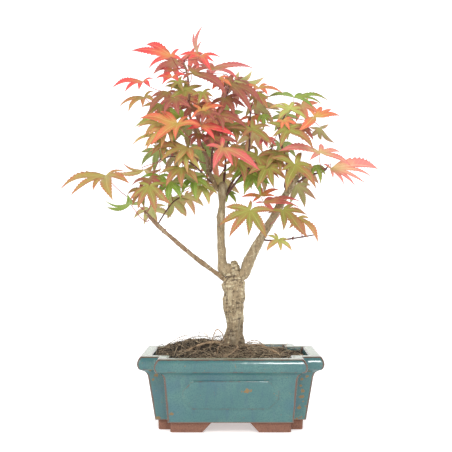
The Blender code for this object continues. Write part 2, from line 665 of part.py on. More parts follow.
def stalk_path(hub, face, seat, outward):
    """Centre line of a leaf stalk: a Bezier curve from the underside of the blade to the twig."""
    reach = (seat - hub).length
    leave = (seat - hub).normalized() * 0.7 - face * 0.7
    a, b, c, d = hub, hub + leave * reach * 0.35, seat + outward * reach * 0.3, seat
    path = []
    for step in range(1, STALK_STEPS + 1):
        t = step / STALK_STEPS
        path.append(a * (1 - t) ** 3 + b * 3 * t * (1 - t) ** 2 + c * 3 * t * t * (1 - t) + d * t ** 3)
    return path


def leaf_bmesh(hub, tips, face, seat, outward, extra):
    """One closed leaf: a thin blade of pointed lobes that bow upward, and its stalk from underneath."""
    bm = bmesh.new()
    right = tips[0].normalized()
    up = face.cross(right)
    turns = sorted(((math.atan2(t.dot(up), t.dot(right)) % math.tau, t) for t in tips),
                   key=lambda pair: pair[0])
    half = face * (LEAF_THICKNESS / 2 + extra)
    count = len(turns)

    def spot(angle, reach, length):
        share = min(reach / length, 1.0)
        bow = 4 * LEAF_BOW * length * share * (1 - share)
        return hub + (right * math.cos(angle) + up * math.sin(angle)) * reach + face * bow

    gaps = [(turns[(i + 1) % count][0] - turns[i][0]) % math.tau for i in range(count)]
    valleys = []
    for i in range(count):
        short = min(turns[i][1].length, turns[(i + 1) % count][1].length)
        wide = min(max((math.degrees(gaps[i]) - 50) / 70, 0.0), 1.0)
        valleys.append(bm.verts.new(spot(turns[i][0] + gaps[i] / 2, short * (0.30 - 0.20 * wide), short)))
    top_loop, bottom_loop, angles = [], [], []
    for i, (angle, tip) in enumerate(turns):
        length = tip.length
        open_turn = math.atan2(LOBE_WIDTH, SHOULDER)
        room_before = min(open_turn, gaps[i - 1] * SHOULDER)
        room_after = min(open_turn, gaps[i] * SHOULDER)
        before = bm.verts.new(spot(angle - room_before, SHOULDER * length, length))
        after = bm.verts.new(spot(angle + room_after, SHOULDER * length, length))
        end = bm.verts.new(spot(angle, length, length))
        rib = spot(angle, length / 2, length)
        rib_top = bm.verts.new(rib + half * RIB_SHARE)
        rib_bottom = bm.verts.new(rib - half * RIB_SHARE)
        for a, b in ((valleys[i - 1], before), (before, end), (end, after), (after, valleys[i])):
            bm.faces.new((a, b, rib_top))
            bm.faces.new((b, a, rib_bottom))
        top_loop += [valleys[i - 1], rib_top]
        bottom_loop += [valleys[i - 1], rib_bottom]
        angles += [angle - gaps[i - 1] / 2, angle]
    hub_top = bm.verts.new(hub + half)
    size = len(top_loop)
    for j in range(size):
        bm.faces.new((hub_top, top_loop[j], top_loop[(j + 1) % size]))
    collar = []
    for k in range(4):
        turn = math.tau * k / 4
        collar.append(bm.verts.new(hub - half + (right * math.cos(turn) + up * math.sin(turn)) * STALK_RADIUS))
    quarter = [round(a / (math.tau / 4)) for a in angles]
    for j in range(size):
        here, there = bottom_loop[j], bottom_loop[(j + 1) % size]
        last = quarter[j + 1] if j + 1 < size else quarter[0] + 4
        bm.faces.new((there, here, collar[quarter[j] % 4]))
        for k in range(quarter[j], last):
            bm.faces.new((there, collar[k % 4], collar[(k + 1) % 4]))
    add_stalk(bm, collar, hub - half, -face, stalk_path(hub - half, face, seat, outward))
    return bm


def add_stalk(bm, ring, centre, heading, path):
    """Carry a ring along the path, turning it with the path, and close its end."""
    offsets = [v.co - centre for v in ring]
    for i, place in enumerate(path):
        after = path[i + 1] if i + 1 < len(path) else place + (place - path[i - 1])
        ahead = (after - (path[i - 1] if i else centre)).normalized()
        turn = heading.rotation_difference(ahead)
        offsets = [turn @ offset for offset in offsets]
        heading = ahead
        fresh = [bm.verts.new(place + offset) for offset in offsets]
        for k in range(4):
            bm.faces.new((ring[(k + 1) % 4], ring[k], fresh[k], fresh[(k + 1) % 4]))
        ring = fresh
    bm.faces.new(ring)


def settle(hub, lobes, look_at, path, share, placed):
    """The nearest depth, and if need be tilt, at which the leaf clears everything placed so far."""
    best = None
    for tilt in (0, 12, -12, 24, -24):
        face = face_direction(look_at[0], look_at[1] + tilt)
        tips = lobe_tips(lobes, face)
        for trial in range(SETTLE_TRIES):
            shift = SETTLE_STEP * ((trial + 1) // 2) * (-1 if trial % 2 else 1)
            place = hub + Vector((0.0, shift, 0.0))
            seat, outward = seat_on(path, share, place, STALK_RADIUS)
            up_side = face if (seat - place).dot(face) <= 0 else -face
            bm = leaf_bmesh(place, tips, up_side, seat, outward, CLEAR)
            tree = BVHTree.FromBMesh(bm)
            bm.free()
            hits = sum(len(tree.overlap(other)) for other in placed)
            if best is None or hits < best[0]:
                best = (hits, place, tips, up_side, seat, outward)
            if hits == 0:
                return best[1:]
    return best[1:]


def make_leaves(paths):
    """Every leaf, each settled clear of the wood and of the leaves before it."""
    looks = {tint: material("maple_leaf_" + tint, colour, 0.5) for tint, colour in LEAF_COLOURS.items()}
    bpy.context.view_layer.update()
    placed = [tree_of(obj) for obj in list(bpy.data.objects) if not obj.hide_render]
    for name, twig, share, hub, look_at, lobes in LEAVES:
        made = settle(crown_point(hub), lobes, look_at, paths[twig], share, placed)
        bm = leaf_bmesh(*made, 0.0)
        obj = add_mesh(name, bm, looks[LEAF_TINTS.get(name, "olive")])
        bpy.context.view_layer.update()
        placed.append(tree_of(obj))


def stand_on_origin():
    """Centre the whole model over the origin by its bounding box, standing on Z = 0."""
    bpy.context.view_layer.update()
    graph = bpy.context.evaluated_depsgraph_get()
    low, high = np.full(3, np.inf), np.full(3, -np.inf)
    for obj in bpy.data.objects:
        if obj.hide_render:
            continue
        shape = obj.evaluated_get(graph)
        mesh = shape.to_mesh()
        points = np.array([obj.matrix_world @ v.co for v in mesh.vertices])
        low, high = np.minimum(low, points.min(0)), np.maximum(high, points.max(0))
        shape.to_mesh_clear()
    middle = (low + high) / 2
    for obj in bpy.data.objects:
        obj.location -= Vector((middle[0], middle[1], low[2]))


def main():
    clear_scene()
    make_pot()
    make_screens()
    make_soil()
    paths = make_wood()
    make_roots()
    make_leaves(paths)
    stand_on_origin()


main()
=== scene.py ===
# %% [markdown]
# # A Japanese maple bonsai in a glazed pot
# A bonsai is a real tree that is kept small by pruning, in a shallow pot. This lesson dresses the measured
# solids of such a tree with what the eye looks for: lobed leaves with veins and red stalks, bark that
# changes from the old trunk to the young twigs, a rooty mound of soil, and a pot whose glaze breaks brown
# on its edges. The solids come first, because every new piece takes its place and size from them.

# %% Load the solids
import math
import bpy
import numpy as np
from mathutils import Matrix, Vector
from mathutils.bvhtree import BVHTree


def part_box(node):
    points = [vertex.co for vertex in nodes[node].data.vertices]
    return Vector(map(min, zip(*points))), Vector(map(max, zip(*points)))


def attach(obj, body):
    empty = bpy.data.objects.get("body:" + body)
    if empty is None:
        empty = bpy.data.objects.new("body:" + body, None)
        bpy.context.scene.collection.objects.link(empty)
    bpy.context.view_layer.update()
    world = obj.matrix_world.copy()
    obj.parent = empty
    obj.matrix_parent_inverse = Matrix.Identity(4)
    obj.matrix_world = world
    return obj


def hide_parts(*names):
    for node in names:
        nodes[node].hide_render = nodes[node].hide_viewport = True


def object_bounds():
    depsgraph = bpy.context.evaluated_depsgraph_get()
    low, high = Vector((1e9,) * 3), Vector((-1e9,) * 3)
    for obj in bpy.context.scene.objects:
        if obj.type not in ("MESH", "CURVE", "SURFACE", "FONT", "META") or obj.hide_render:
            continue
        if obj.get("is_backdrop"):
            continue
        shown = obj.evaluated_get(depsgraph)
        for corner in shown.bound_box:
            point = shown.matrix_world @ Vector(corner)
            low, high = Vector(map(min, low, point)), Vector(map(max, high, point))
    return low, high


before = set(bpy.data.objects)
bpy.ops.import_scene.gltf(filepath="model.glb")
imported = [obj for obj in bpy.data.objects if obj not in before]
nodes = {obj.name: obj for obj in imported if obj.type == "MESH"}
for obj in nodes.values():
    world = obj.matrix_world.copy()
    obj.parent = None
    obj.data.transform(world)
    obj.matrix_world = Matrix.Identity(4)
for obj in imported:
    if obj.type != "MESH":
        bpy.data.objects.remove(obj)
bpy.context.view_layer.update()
MM = 0.001
LEAF_NODES = sorted(n for n in nodes if n.startswith("leaf_"))
print("solids:", len(nodes), "of which leaves:", len(LEAF_NODES))

# %% [markdown]
# The camera stands a good arm's length away, a little above the pot's rim, with a long lens. That is how
# plants are usually shown: upright lines stay upright and the pot's rim is seen almost edge on.

# %% Camera
CAMERA_DISTANCE = 870 * MM  # from the pot's middle
CAMERA_HEIGHT = 197 * MM
CAMERA_ASIDE = 5 * MM  # left of the pot's middle
CAMERA_LIFT = math.radians(1.56)  # looks up by this much
LENS = 61.2  # on a 36 mm sensor


def corners_of(name):
    """Lowest and highest corner of a solid, as arrays in metres."""
    low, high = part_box(name)
    return np.array(low), np.array(high)


pot_low, pot_high = corners_of("pot")
pot_middle = (pot_low + pot_high) / 2
camera_data = bpy.data.cameras.new("camera")
camera_data.lens = LENS
camera = bpy.data.objects.new("camera", camera_data)
camera.location = (pot_middle[0] - CAMERA_ASIDE, pot_middle[1] - CAMERA_DISTANCE, CAMERA_HEIGHT)
camera.rotation_euler = (math.pi / 2 + CAMERA_LIFT, 0.0, 0.0)
bpy.context.scene.collection.objects.link(camera)
bpy.context.scene.camera = camera
print("pot's middle in mm:", np.round(pot_middle / MM, 1))

# %% [markdown]
# Plain numbers are enough to build any surface: a grid of points and the faces between them. These helpers
# do it for whole arrays at once. The rough side of nature comes from one function too, a sum of sine waves
# that run in random directions, which is smooth, endless and the same on every run.

# %% Surface helpers
def unit(v):
    """Vectors divided by their own length."""
    return v / np.maximum(np.linalg.norm(v, axis=-1, keepdims=True), 1e-12)


def ripple(points, size, seed, waves=14):
    """Uneven height between about -1 and 1: the mean of sine waves of that size in random directions."""
    rng = np.random.default_rng(seed)
    ways = unit(rng.normal(size=(waves, 3))) * (math.tau / size) * rng.uniform(0.6, 1.5, (waves, 1))
    starts = rng.uniform(0, math.tau, waves)
    return np.sin(points @ ways.T + starts).sum(axis=-1) / math.sqrt(waves / 2) / 1.6


def grid_faces(rows, columns, wrap):
    """Two triangles for each square of a grid; with wrap the last column joins the first."""
    r = np.arange(rows - 1)[:, None]
    c = np.arange(columns if wrap else columns - 1)[None, :]
    a = r * columns + c
    b = r * columns + (c + 1) % columns
    d = a + columns
    e = b + columns
    return np.concatenate([np.stack([a, b, e], -1).reshape(-1, 3), np.stack([a, e, d], -1).reshape(-1, 3)])


def welded(points, faces, values):
    """Points at one place become one point, and triangles that lose a corner are dropped."""
    _, first, back = np.unique(np.round(points / 1e-7).astype(np.int64), axis=0, return_index=True,
                               return_inverse=True)
    faces = back.ravel()[faces]
    whole = (faces[:, 0] != faces[:, 1]) & (faces[:, 1] != faces[:, 2]) & (faces[:, 2] != faces[:, 0])
    return points[first], faces[whole], {key: v[first] for key, v in values.items()}


def set_values(mesh, values):
    """Stores one number per point of a mesh under each name."""
    for key, value in values.items():
        layer = mesh.attributes.new(key, "FLOAT", "POINT")
        layer.data.foreach_set("value", value.astype(np.float32))


def object_from(name, points, faces, looks, values=None, which=None):
    """Puts arrays of points, faces and one value per point into a smooth mesh object at the origin."""
    mesh = bpy.data.meshes.new(name)
    mesh.vertices.add(len(points))
    mesh.vertices.foreach_set("co", points.astype(np.float32).ravel())
    mesh.loops.add(faces.size)
    mesh.loops.foreach_set("vertex_index", faces.astype(np.int32).ravel())
    mesh.polygons.add(len(faces))
    mesh.polygons.foreach_set("loop_start", np.arange(0, faces.size, faces.shape[1], dtype=np.int32))
    mesh.polygons.foreach_set("loop_total", np.full(len(faces), faces.shape[1], dtype=np.int32))
    mesh.polygons.foreach_set("use_smooth", np.ones(len(faces), bool))
    for look in looks:
        mesh.materials.append(look)
    if which is not None:
        mesh.polygons.foreach_set("material_index", which.astype(np.int32))
    set_values(mesh, values or {})
    mesh.update()
    obj = bpy.data.objects.new(name, mesh)
    bpy.context.scene.collection.objects.link(obj)
    return obj


def smooth_line(rows, count):
    """Catmull-Rom curve through rows of numbers, at count places that are even in the row number."""
    rows = np.asarray(rows, float)
    padded = np.vstack([2 * rows[0] - rows[1], rows, 2 * rows[-1] - rows[-2]])
    u = np.linspace(0, len(rows) - 1, count)
    i = np.minimum(u.astype(int), len(rows) - 2)
    t = (u - i)[:, None]
    a, b, c, d = padded[i], padded[i + 1], padded[i + 2], padded[i + 3]
    return 0.5 * (2 * b + (c - a) * t + (2 * a - 5 * b + 4 * c - d) * t ** 2
                  + (3 * b - a - 3 * c + d) * t ** 3)


def step_lengths(line):
    """Distance from each row of a line to the next."""
    return np.linalg.norm(np.diff(line[:, :3], axis=0), axis=1)


def travelled(line):
    """Distance along a line from its first row to each row."""
    return np.concatenate([[0], np.cumsum(step_lengths(line))])


def ring_ways(line, sides):
    """Directions from each row of a line to the points of a ring round it: the two directions across the
    line, times the cosine and the sine of the turn. One fixed reference keeps the rings from twisting."""
    heading = unit(np.gradient(line[:, :3], axis=0))
    reference = np.eye(3)[np.argmin(np.abs(unit(line[-1, :3] - line[0, :3])))]
    side = unit(np.cross(heading, reference))
    up = np.cross(heading, side)
    turn = np.arange(sides) * math.tau / sides
    return side[:, None] * np.cos(turn)[None, :, None] + up[:, None] * np.sin(turn)[None, :, None]


def pipe(line, sides, bulge=None):
    """A closed tube round rows of (x, y, z, radius): each ring is the radius times a circle, and both ends
    close as half spheres. bulge adds height for each (row, side)."""
    travel = travelled(line)
    radius = line[:, 3]
    near_end = np.minimum(np.minimum(travel, travel[-1] - travel) / radius, 1.0)
    close = np.sqrt(np.maximum(1 - (1 - near_end) ** 2, 0.0))
    high = radius[:, None] + (0 if bulge is None else bulge)
    points = line[:, None, :3] + ring_ways(line, sides) * (high * close[:, None])[..., None]
    return points.reshape(-1, 3), grid_faces(len(line), sides, True)


def shell(points, faces, thickness):
    """A thin closed leaf of material: the surface moved half the thickness out and half in along each
    point's normal, and a strip along the open edge. Also gives 0 on the upper skin and 1 on the lower."""
    corners = points[faces]
    across = np.cross(corners[:, 1] - corners[:, 0], corners[:, 2] - corners[:, 0])
    normal = np.zeros_like(points)
    for k in range(3):
        np.add.at(normal, faces[:, k], across)
    normal = unit(normal) * thickness / 2
    n = len(points)
    edges = np.concatenate([faces[:, [0, 1]], faces[:, [1, 2]], faces[:, [2, 0]]])
    keys = edges[:, 0] * n + edges[:, 1]
    open_edges = edges[~np.isin(keys, edges[:, 1] * n + edges[:, 0])]
    a, b = open_edges[:, 0], open_edges[:, 1]
    rim = np.concatenate([np.stack([b, a, a + n], -1), np.stack([b, a + n, b + n], -1)])
    all_faces = np.concatenate([faces, faces[:, ::-1] + n, rim])
    under = np.concatenate([np.zeros(n), np.ones(n)])
    return np.concatenate([points + normal, points - normal]), all_faces, under


def mesh_arrays(name):
    """A solid's points and triangles, with the points that lie at one place made one."""
    mesh = nodes[name].data
    points = np.empty(len(mesh.vertices) * 3)
    mesh.vertices.foreach_get("co", points)
    mesh.calc_loop_triangles()
    faces = np.empty(len(mesh.loop_triangles) * 3, np.int32)
    mesh.loop_triangles.foreach_get("vertices", faces)
    points = np.round(points.reshape(-1, 3), 6)
    places, back = np.unique(points, axis=0, return_inverse=True)
    return places, back.ravel()[faces.reshape(-1, 3)]


def neighbours_of(faces, count):
    """For each point, the set of the points that it shares an edge with."""
    near = [set() for _ in range(count)]
    for a, b, c in faces:
        near[a] |= {b, c}
        near[b] |= {a, c}
        near[c] |= {a, b}
    return near


def layers_from(start, near, allowed):
    """Rings of points, each one edge further from the first ring."""
    seen = set(start)
    rings = [sorted(start)]
    while True:
        ring = {q for p in rings[-1] for q in near[p] if q in allowed and q not in seen}
        if not ring:
            return rings
        seen |= ring
        rings.append(sorted(ring))


def slot_of(name):
    """Name of the finish that a solid was given in its record."""
    return nodes[name].data.materials[0].name


print("helpers ready; ripple of one point:", round(float(ripple(np.zeros((1, 3)), 0.01, 1)[0]), 3))

# %% [markdown]
# Materials are built from nodes. Colours are written as the hex values that a painter's chart gives, and
# one function turns them to the linear numbers that light adds up in. One other function adds any node,
# sets it, fills its sockets and hands back an output. So each material below reads as a list of layers: a
# pattern, a soft step that makes a mask of it, and a mix that lays one more colour over the others.

# %% Material helpers
def linear(code, alpha=1.0):
    """An sRGB hex colour as linear red, green, blue and alpha."""
    channels = np.array([int(code[i:i + 2], 16) for i in (0, 2, 4)]) / 255
    bright = np.where(channels <= 0.04045, channels / 12.92, ((channels + 0.055) / 1.055) ** 2.4)
    return (*bright.tolist(), alpha)


def add(tree, kind, settings=None, inputs=None, out=0):
    """Adds a node, sets its settings, fills its sockets with values or with another node's output, and
    gives back the output with that number or name."""
    node = tree.nodes.new(kind)
    for key, value in (settings or {}).items():
        setattr(node, key, value)
    for key, value in (inputs or {}).items():
        if isinstance(value, bpy.types.NodeSocket):
            tree.links.new(value, node.inputs[key])
        else:
            node.inputs[key].default_value = value
    return node.outputs[out]


MATH, MIX, NOISE = "ShaderNodeMath", "ShaderNodeMix", "ShaderNodeTexNoise"
RANGE, MAPPING, BUMP = "ShaderNodeMapRange", "ShaderNodeMapping", "ShaderNodeBump"
VALUE = "ShaderNodeAttribute"
COLOUR = {"data_type": "RGBA"}  # a mix of colours: 0 is the mask, 6 below, 7 above, output 2
SMOOTH = {"interpolation_type": "SMOOTHSTEP"}  # 0 is the value, 1 and 2 its limits, 3 and 4 the results
TIMES = {"operation": "MULTIPLY"}
TIMES_ADD = {"operation": "MULTIPLY_ADD"}


def start_material(name):
    """An empty material: its node tree, its main shader and its Object coordinates."""
    material = bpy.data.materials.new(name)
    material.use_nodes = True
    tree = material.node_tree
    tree.nodes.clear()
    output = tree.nodes.new("ShaderNodeOutputMaterial")
    shader = tree.nodes.new("ShaderNodeBsdfPrincipled")
    tree.links.new(shader.outputs[0], output.inputs[0])
    place = tree.nodes.new("ShaderNodeTexCoord").outputs["Object"]
    return material, tree, shader, place


print("teal in linear light:", np.round(linear("5F9391"), 3))

# %% [markdown]
# ## Wood
# The trunk of a maple bonsai is smooth young bark over old pruning scars: knobs, a dead stub and cream
# patches. Every limb is one tube along the solid's own centre line, with the bark pushed in and out by
# ripples of several sizes, and with swellings where a shoot was cut. Each limb starts inside its parent
# and is flared there, so the two read as grown together. The centre lines are read back from the solids:
# each was built as rings, and rings can be counted off from its end cap.

# %% Read the centre lines
def centre_line(name, sides, from_point=None):
    """Rows of (x, y, z, radius) of a solid tube: its rings' middles and mean radii, counted off from the
    end cap, which is the ring of points that all lie in one flat face."""
    points, faces = mesh_arrays(name)
    corners = points[faces]
    normal = unit(np.cross(corners[:, 1] - corners[:, 0], corners[:, 2] - corners[:, 0]))
    near = neighbours_of(faces, len(points))
    caps = []
    for i in range(len(faces)):
        flat = np.flatnonzero((normal @ normal[i] > 0.99999)
                              & (np.abs((corners[:, 0] - corners[i, 0]) @ normal[i]) < 2e-6))
        ring = set(faces[flat].ravel().tolist())
        if len(flat) == sides - 2 and len(ring) == sides and ring not in caps:
            caps.append(ring)
    middles = [points[sorted(ring)].mean(axis=0) for ring in caps]
    if from_point is None:
        first = int(np.argmin([m[2] for m in middles]))
    else:
        first = int(np.argmin([np.linalg.norm(m - from_point) for m in middles]))
    rows = []
    for ring in layers_from(caps[first], near, set(range(len(points)))):
        middle = points[ring].mean(axis=0)
        rows.append([*middle, np.linalg.norm(points[ring] - middle, axis=1).mean()])
    return np.array(rows)


PARENTS = {
    "leader": "trunk", "left_limb": "trunk", "right_limb": "trunk", "upper_branch": "leader",
    "left_twig": "upper_branch", "right_twig_inner": "leader", "right_twig_outer": "leader",
    "centre_twig": "upper_branch", "back_twig": "leader", "right_top_twig": "right_limb",
    "right_end_twig": "right_limb", "right_side_twig": "right_limb", "left_side_twig": "left_limb",
}
THICK = ("leader", "left_limb", "right_limb", "upper_branch")
lines = {"trunk": centre_line("trunk", 14)}
for name, parent in PARENTS.items():
    line = centre_line(name, 10 if name in THICK else 8)
    gaps = [np.linalg.norm(lines[parent][:, :3] - line[k, :3], axis=1).min() for k in (0, -1)]
    lines[name] = line if gaps[0] <= gaps[1] else line[::-1]
for name, line in lines.items():
    print(name, "rows", len(line), "radii mm", np.round(line[[0, -1], 3] / MM, 2))

# %% [markdown]
# Now the bark's shape. A limb's line is cut in steps of less than a millimetre, so that ripples of 2 mm
# still show as geometry, and knobs are added where a shoot was once cut off.

# %% Bark skins
def bark_line(name):
    """A limb's centre line at fine steps, begun inside its parent, with a flared foot."""
    rows = lines[name]
    if name in PARENTS:
        parent = smooth_line(lines[PARENTS[name]], 400)
        inside = parent[np.argmin(np.linalg.norm(parent[:, :3] - rows[0, :3], axis=1))]
        start = np.array([*(inside[:3] * 0.75 + rows[0, :3] * 0.25), rows[0, 3]])
        rows = np.vstack([start, rows])
    length = step_lengths(rows).sum()
    step = 0.8 * MM if rows[0, 3] > 2 * MM else 0.9 * MM
    line = smooth_line(rows, max(12, int(length / step)))
    if name in PARENTS:
        line[:, 3] *= 1 + 0.55 * np.exp(-(travelled(line) / (rows[0, 3] * 2.0)) ** 2)
    return line


def swell(line, sides, lumps, grain, gnarl, seed):
    """Height of the bark for each (row, side): ripples at three sizes, plus round lumps, each given as
    (share of the length, direction in degrees, height in mm, radius in mm), with a dip inside where the
    height is negative. gnarl is the height of the knobs near the upper end. Also gives the fine part,
    about -1 to 1: ripples, rings that run round the limb, and the knobs."""
    skin = line[:, None, :3] + ring_ways(line, sides) * line[:, 3][:, None, None]
    squeezed = skin * (1.0, 1.0, 0.45)
    radius = line[:, 3][:, None]
    middle, fine = ripple(squeezed, 5 * MM, seed + 1), ripple(squeezed, 1.6 * MM, seed + 2)
    high = radius * 0.10 * ripple(squeezed, 13 * MM, seed)
    high = high + radius * 0.06 * middle + grain * fine
    upper = np.clip((np.linspace(0, 1, len(line)) - 0.62) / 0.2, 0, 1)[:, None]
    knobs = 0.65 * ripple(skin, 6.5 * MM, seed + 3) + 0.45 * ripple(skin, 3.2 * MM, seed + 4)
    high = high + gnarl * upper * (np.abs(knobs) * 1.5 - 0.5)
    for share, degrees, rise, spread in lumps:
        rise, spread = rise * MM, spread * MM
        row = line[int(share * (len(line) - 1))]
        way = np.array([math.cos(math.radians(degrees)), math.sin(math.radians(degrees)), 0.0])
        centre = row[:3] + way * row[3]
        far = np.linalg.norm(skin - centre, axis=2) / spread
        high = high + rise * (np.exp(-far ** 2) if rise > 0 else np.exp(-far ** 4) - 0.8 *
                              np.exp(-((far - 1.25) / 0.35) ** 2))
    rings = ripple(skin * (0.25, 0.25, 1.0), 2.6 * MM, seed + 5)
    plain = 0.30 * middle + 0.20 * fine + 0.45 * rings
    return high, np.where(gnarl > 0, plain + 1.6 * upper * (np.abs(knobs) - 0.38), 0.45 * plain)


LUMPS = {
    "trunk": ((0.50, -80, 1.6, 4), (0.55, -150, 2.2, 5), (0.60, -35, 2.0, 5),
              (0.66, -95, -1.6, 3.2), (0.70, -160, 2.4, 5), (0.72, -20, 2.2, 5),
              (0.78, -70, 1.8, 3.5), (0.80, -120, -1.2, 2.6), (0.82, 60, 2.4, 6),
              (0.84, -10, 1.8, 4), (0.86, -165, 2.0, 4), (0.36, -60, 1.0, 4),
              (0.22, -130, 1.4, 6), (0.20, -40, 1.6, 6), (0.45, 120, 1.8, 6),
              (0.93, -100, 1.0, 2.5), (0.80, 180, 3.0, 6), (0.86, 170, 2.6, 5)),
    "leader": ((0.98, -90, 1.2, 4), (0.90, 0, 1.6, 4), (0.88, 180, 1.5, 4),
               (0.35, -30, 0.9, 3), (0.62, -160, 0.9, 3), (0.12, -120, 1.4, 5)),
    "right_limb": ((0.30, -60, 1.5, 4), (0.36, -140, 1.0, 3), (0.62, -30, 1.2, 4),
                   (0.10, -100, 1.6, 5), (0.86, -90, 1.3, 4), (0.95, 0, 1.2, 3)),
    "left_limb": ((0.25, -90, 0.6, 2), (0.55, -60, 0.5, 2), (0.82, -90, 0.7, 2.5)),
    "upper_branch": ((0.06, -90, 0.8, 3), (0.20, -90, 0.7, 2.5), (0.5, 0, 0.6, 2)),
}
# sides, grain in mm and height of the knobs in mm
BARK_DETAIL = {"trunk": (64, 0.40, 1.5), "limb": (28, 0.13, 0.0), "twig": (12, 0.07, 0.0)}
bark_arrays = {}
for k, name in enumerate(lines):
    line = bark_line(name)
    sides, grain, gnarl = BARK_DETAIL["trunk" if name == "trunk" else "limb" if name in THICK else "twig"]
    high, fine = swell(line, sides, LUMPS.get(name, ()), grain * MM, gnarl * MM, 10 * k)
    points, faces = pipe(line, sides, high)
    age = np.repeat(np.clip((line[:, 3] - 0.8 * MM) / (4.2 * MM), 0.0, 1.0), sides)
    bark_arrays[name] = welded(points, faces, {"age": age, "rise": fine.ravel()})
    print(name, "triangles", len(bark_arrays[name][1]))

# %% [markdown]
# Maple bark is thin. On the trunk it is tan and grey with dark cracks, and cream where flakes have come
# away. On limbs it turns olive brown, and this year's twigs are a shiny dark red. One value per point, the
# age, which comes from the limb's radius, moves the colour from one to the other.

# %% Bark materials
def bark_material(name, old, olive, young, cream, dark, rough):
    """Thin maple bark in layers: colour by age, cream flakes 3 to 6 mm long and cream ridges, dark streaks
    along the limb, painted shade in the bark's hollows, fine dark cracks, and a damp foot near the soil."""
    material, tree, shader, place = start_material(name)
    age = add(tree, VALUE, {"attribute_name": "age"}, {}, "Fac")
    rise = add(tree, VALUE, {"attribute_name": "rise"}, {}, "Fac")
    long_way = add(tree, MAPPING, {}, {"Vector": place, "Scale": (1.0, 1.0, 0.22)})
    patches = add(tree, NOISE, {}, {"Vector": long_way, "Scale": 210.0, "Detail": 4.0})
    streaks = add(tree, NOISE, {}, {"Vector": long_way, "Scale": 560.0, "Detail": 4.0, "Roughness": 0.6})
    flecks = add(tree, NOISE, {}, {"Vector": place, "Scale": 420.0, "Detail": 5.0})
    cracks = add(tree, NOISE, {}, {"Vector": place, "Scale": 950.0, "Detail": 6.0, "Roughness": 0.7})
    # red shoot, olive limb, grey old wood
    olive_share = add(tree, RANGE, SMOOTH, {0: age, 1: 0.15, 2: 0.7})
    old_share = add(tree, RANGE, SMOOTH, {0: age, 1: 0.55, 2: 1.0})
    base = add(tree, MIX, COLOUR, {0: olive_share, 6: linear(young), 7: linear(olive)}, 2)
    base = add(tree, MIX, COLOUR, {0: old_share, 6: base, 7: linear(old)}, 2)
    # cream where flakes came off, more on old wood, and on the ridges
    flakes = add(tree, RANGE, SMOOTH, {0: patches, 1: 0.50, 2: 0.66})
    aged = add(tree, RANGE, SMOOTH, {0: age, 1: 0.15, 2: 0.6, 4: 0.42})
    flaked = add(tree, MATH, TIMES, {0: flakes, 1: aged})
    base = add(tree, MIX, COLOUR, {0: flaked, 6: base, 7: linear(cream)}, 2)
    fleck = add(tree, RANGE, SMOOTH, {0: flecks, 1: 0.60, 2: 0.68, 4: 0.75})
    base = add(tree, MIX, COLOUR, {0: fleck, 6: base, 7: linear(cream)}, 2)
    ridge = add(tree, RANGE, SMOOTH, {0: rise, 1: 0.20, 2: 0.90, 4: 0.75})
    ridge = add(tree, MATH, TIMES, {0: ridge, 1: old_share})
    base = add(tree, MIX, COLOUR, {0: ridge, 6: base, 7: linear(cream)}, 2)
    # dark streaks and cracks, and painted shade in the bark's hollows
    streak = add(tree, RANGE, SMOOTH, {0: streaks, 1: 0.50, 2: 0.34, 4: 0.50})
    base = add(tree, MIX, COLOUR, {0: streak, 6: base, 7: linear(dark)}, 2)
    furrowed = add(tree, RANGE, {}, {0: old_share, 3: 0.25, 4: 1.0})
    # painted shade: darker where the bark's surface lies low, in its hollows, more on old wood
    shaded_hollow = add(tree, RANGE, SMOOTH, {0: rise, 1: -0.10, 2: -0.70, 4: 0.85})
    shaded_hollow = add(tree, MATH, TIMES, {0: shaded_hollow, 1: furrowed})
    base = add(tree, MIX, COLOUR, {0: shaded_hollow, 6: base, 7: linear(dark)}, 2)
    crack = add(tree, RANGE, SMOOTH, {0: cracks, 1: 0.46, 2: 0.34, 4: 0.65})
    crack = add(tree, MATH, TIMES, {0: crack, 1: furrowed})
    base = add(tree, MIX, COLOUR, {0: crack, 6: base, 7: linear(dark)}, 2)
    # damp from the soil, which fades out 35 mm above it
    height = add(tree, "ShaderNodeSeparateXYZ", {}, {"Vector": place}, "Z")
    damp = add(tree, RANGE, SMOOTH, {0: height, 1: 125 * MM, 2: 88 * MM, 4: 0.6})
    damp = add(tree, MATH, TIMES, {0: damp, 1: add(tree, RANGE, SMOOTH, {0: patches, 1: 0.30, 2: 0.60})})
    base = add(tree, MIX, COLOUR, {0: damp, 6: base, 7: linear(dark)}, 2)
    bump = add(tree, BUMP, {}, {"Strength": 0.6, "Distance": 0.5 * MM, "Height": cracks})
    tree.links.new(base, shader.inputs["Base Color"])
    tree.links.new(bump, shader.inputs["Normal"])
    shader.inputs["Roughness"].default_value = rough
    return material


# Thin-barked maple wood, grown and weathered outdoors: matt, with a slight wax on young shoots.
maple_bark = bark_material("weathered_maple_bark", "9A886A", "80704C", "8A6A54", "D6CAAA", "4A3C30", 0.8)
young_bark = bark_material("young_maple_shoot_bark", "7E664C", "74523F", "5C332C", "A48868", "3A2420", 0.5)
LOOK_OF_SLOT = {"maple_bark": maple_bark, "young_bark": young_bark}
for name, (points, faces, values) in bark_arrays.items():
    piece = object_from(name + "_bark", points, faces, [LOOK_OF_SLOT[slot_of(name)]], values)
    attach(piece, "root")
    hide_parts(name)
print("limbs with bark:", len(bark_arrays))

# %% [markdown]
# ## Leaves
# A Japanese maple leaf is palmate: five to seven narrow pointed lobes spread from one hub, joined for the
# first third of their length, with saw teeth that point forward. It is built as one strip of rows per lobe.
# In the joined part the edge of a strip is the line halfway to the next lobe, so two strips share their
# points and can be welded; beyond it each strip narrows to a long tip. The blade is thin, creased along
# each midrib and bowed, and its red stalk runs back to the twig along the solid's own stalk.

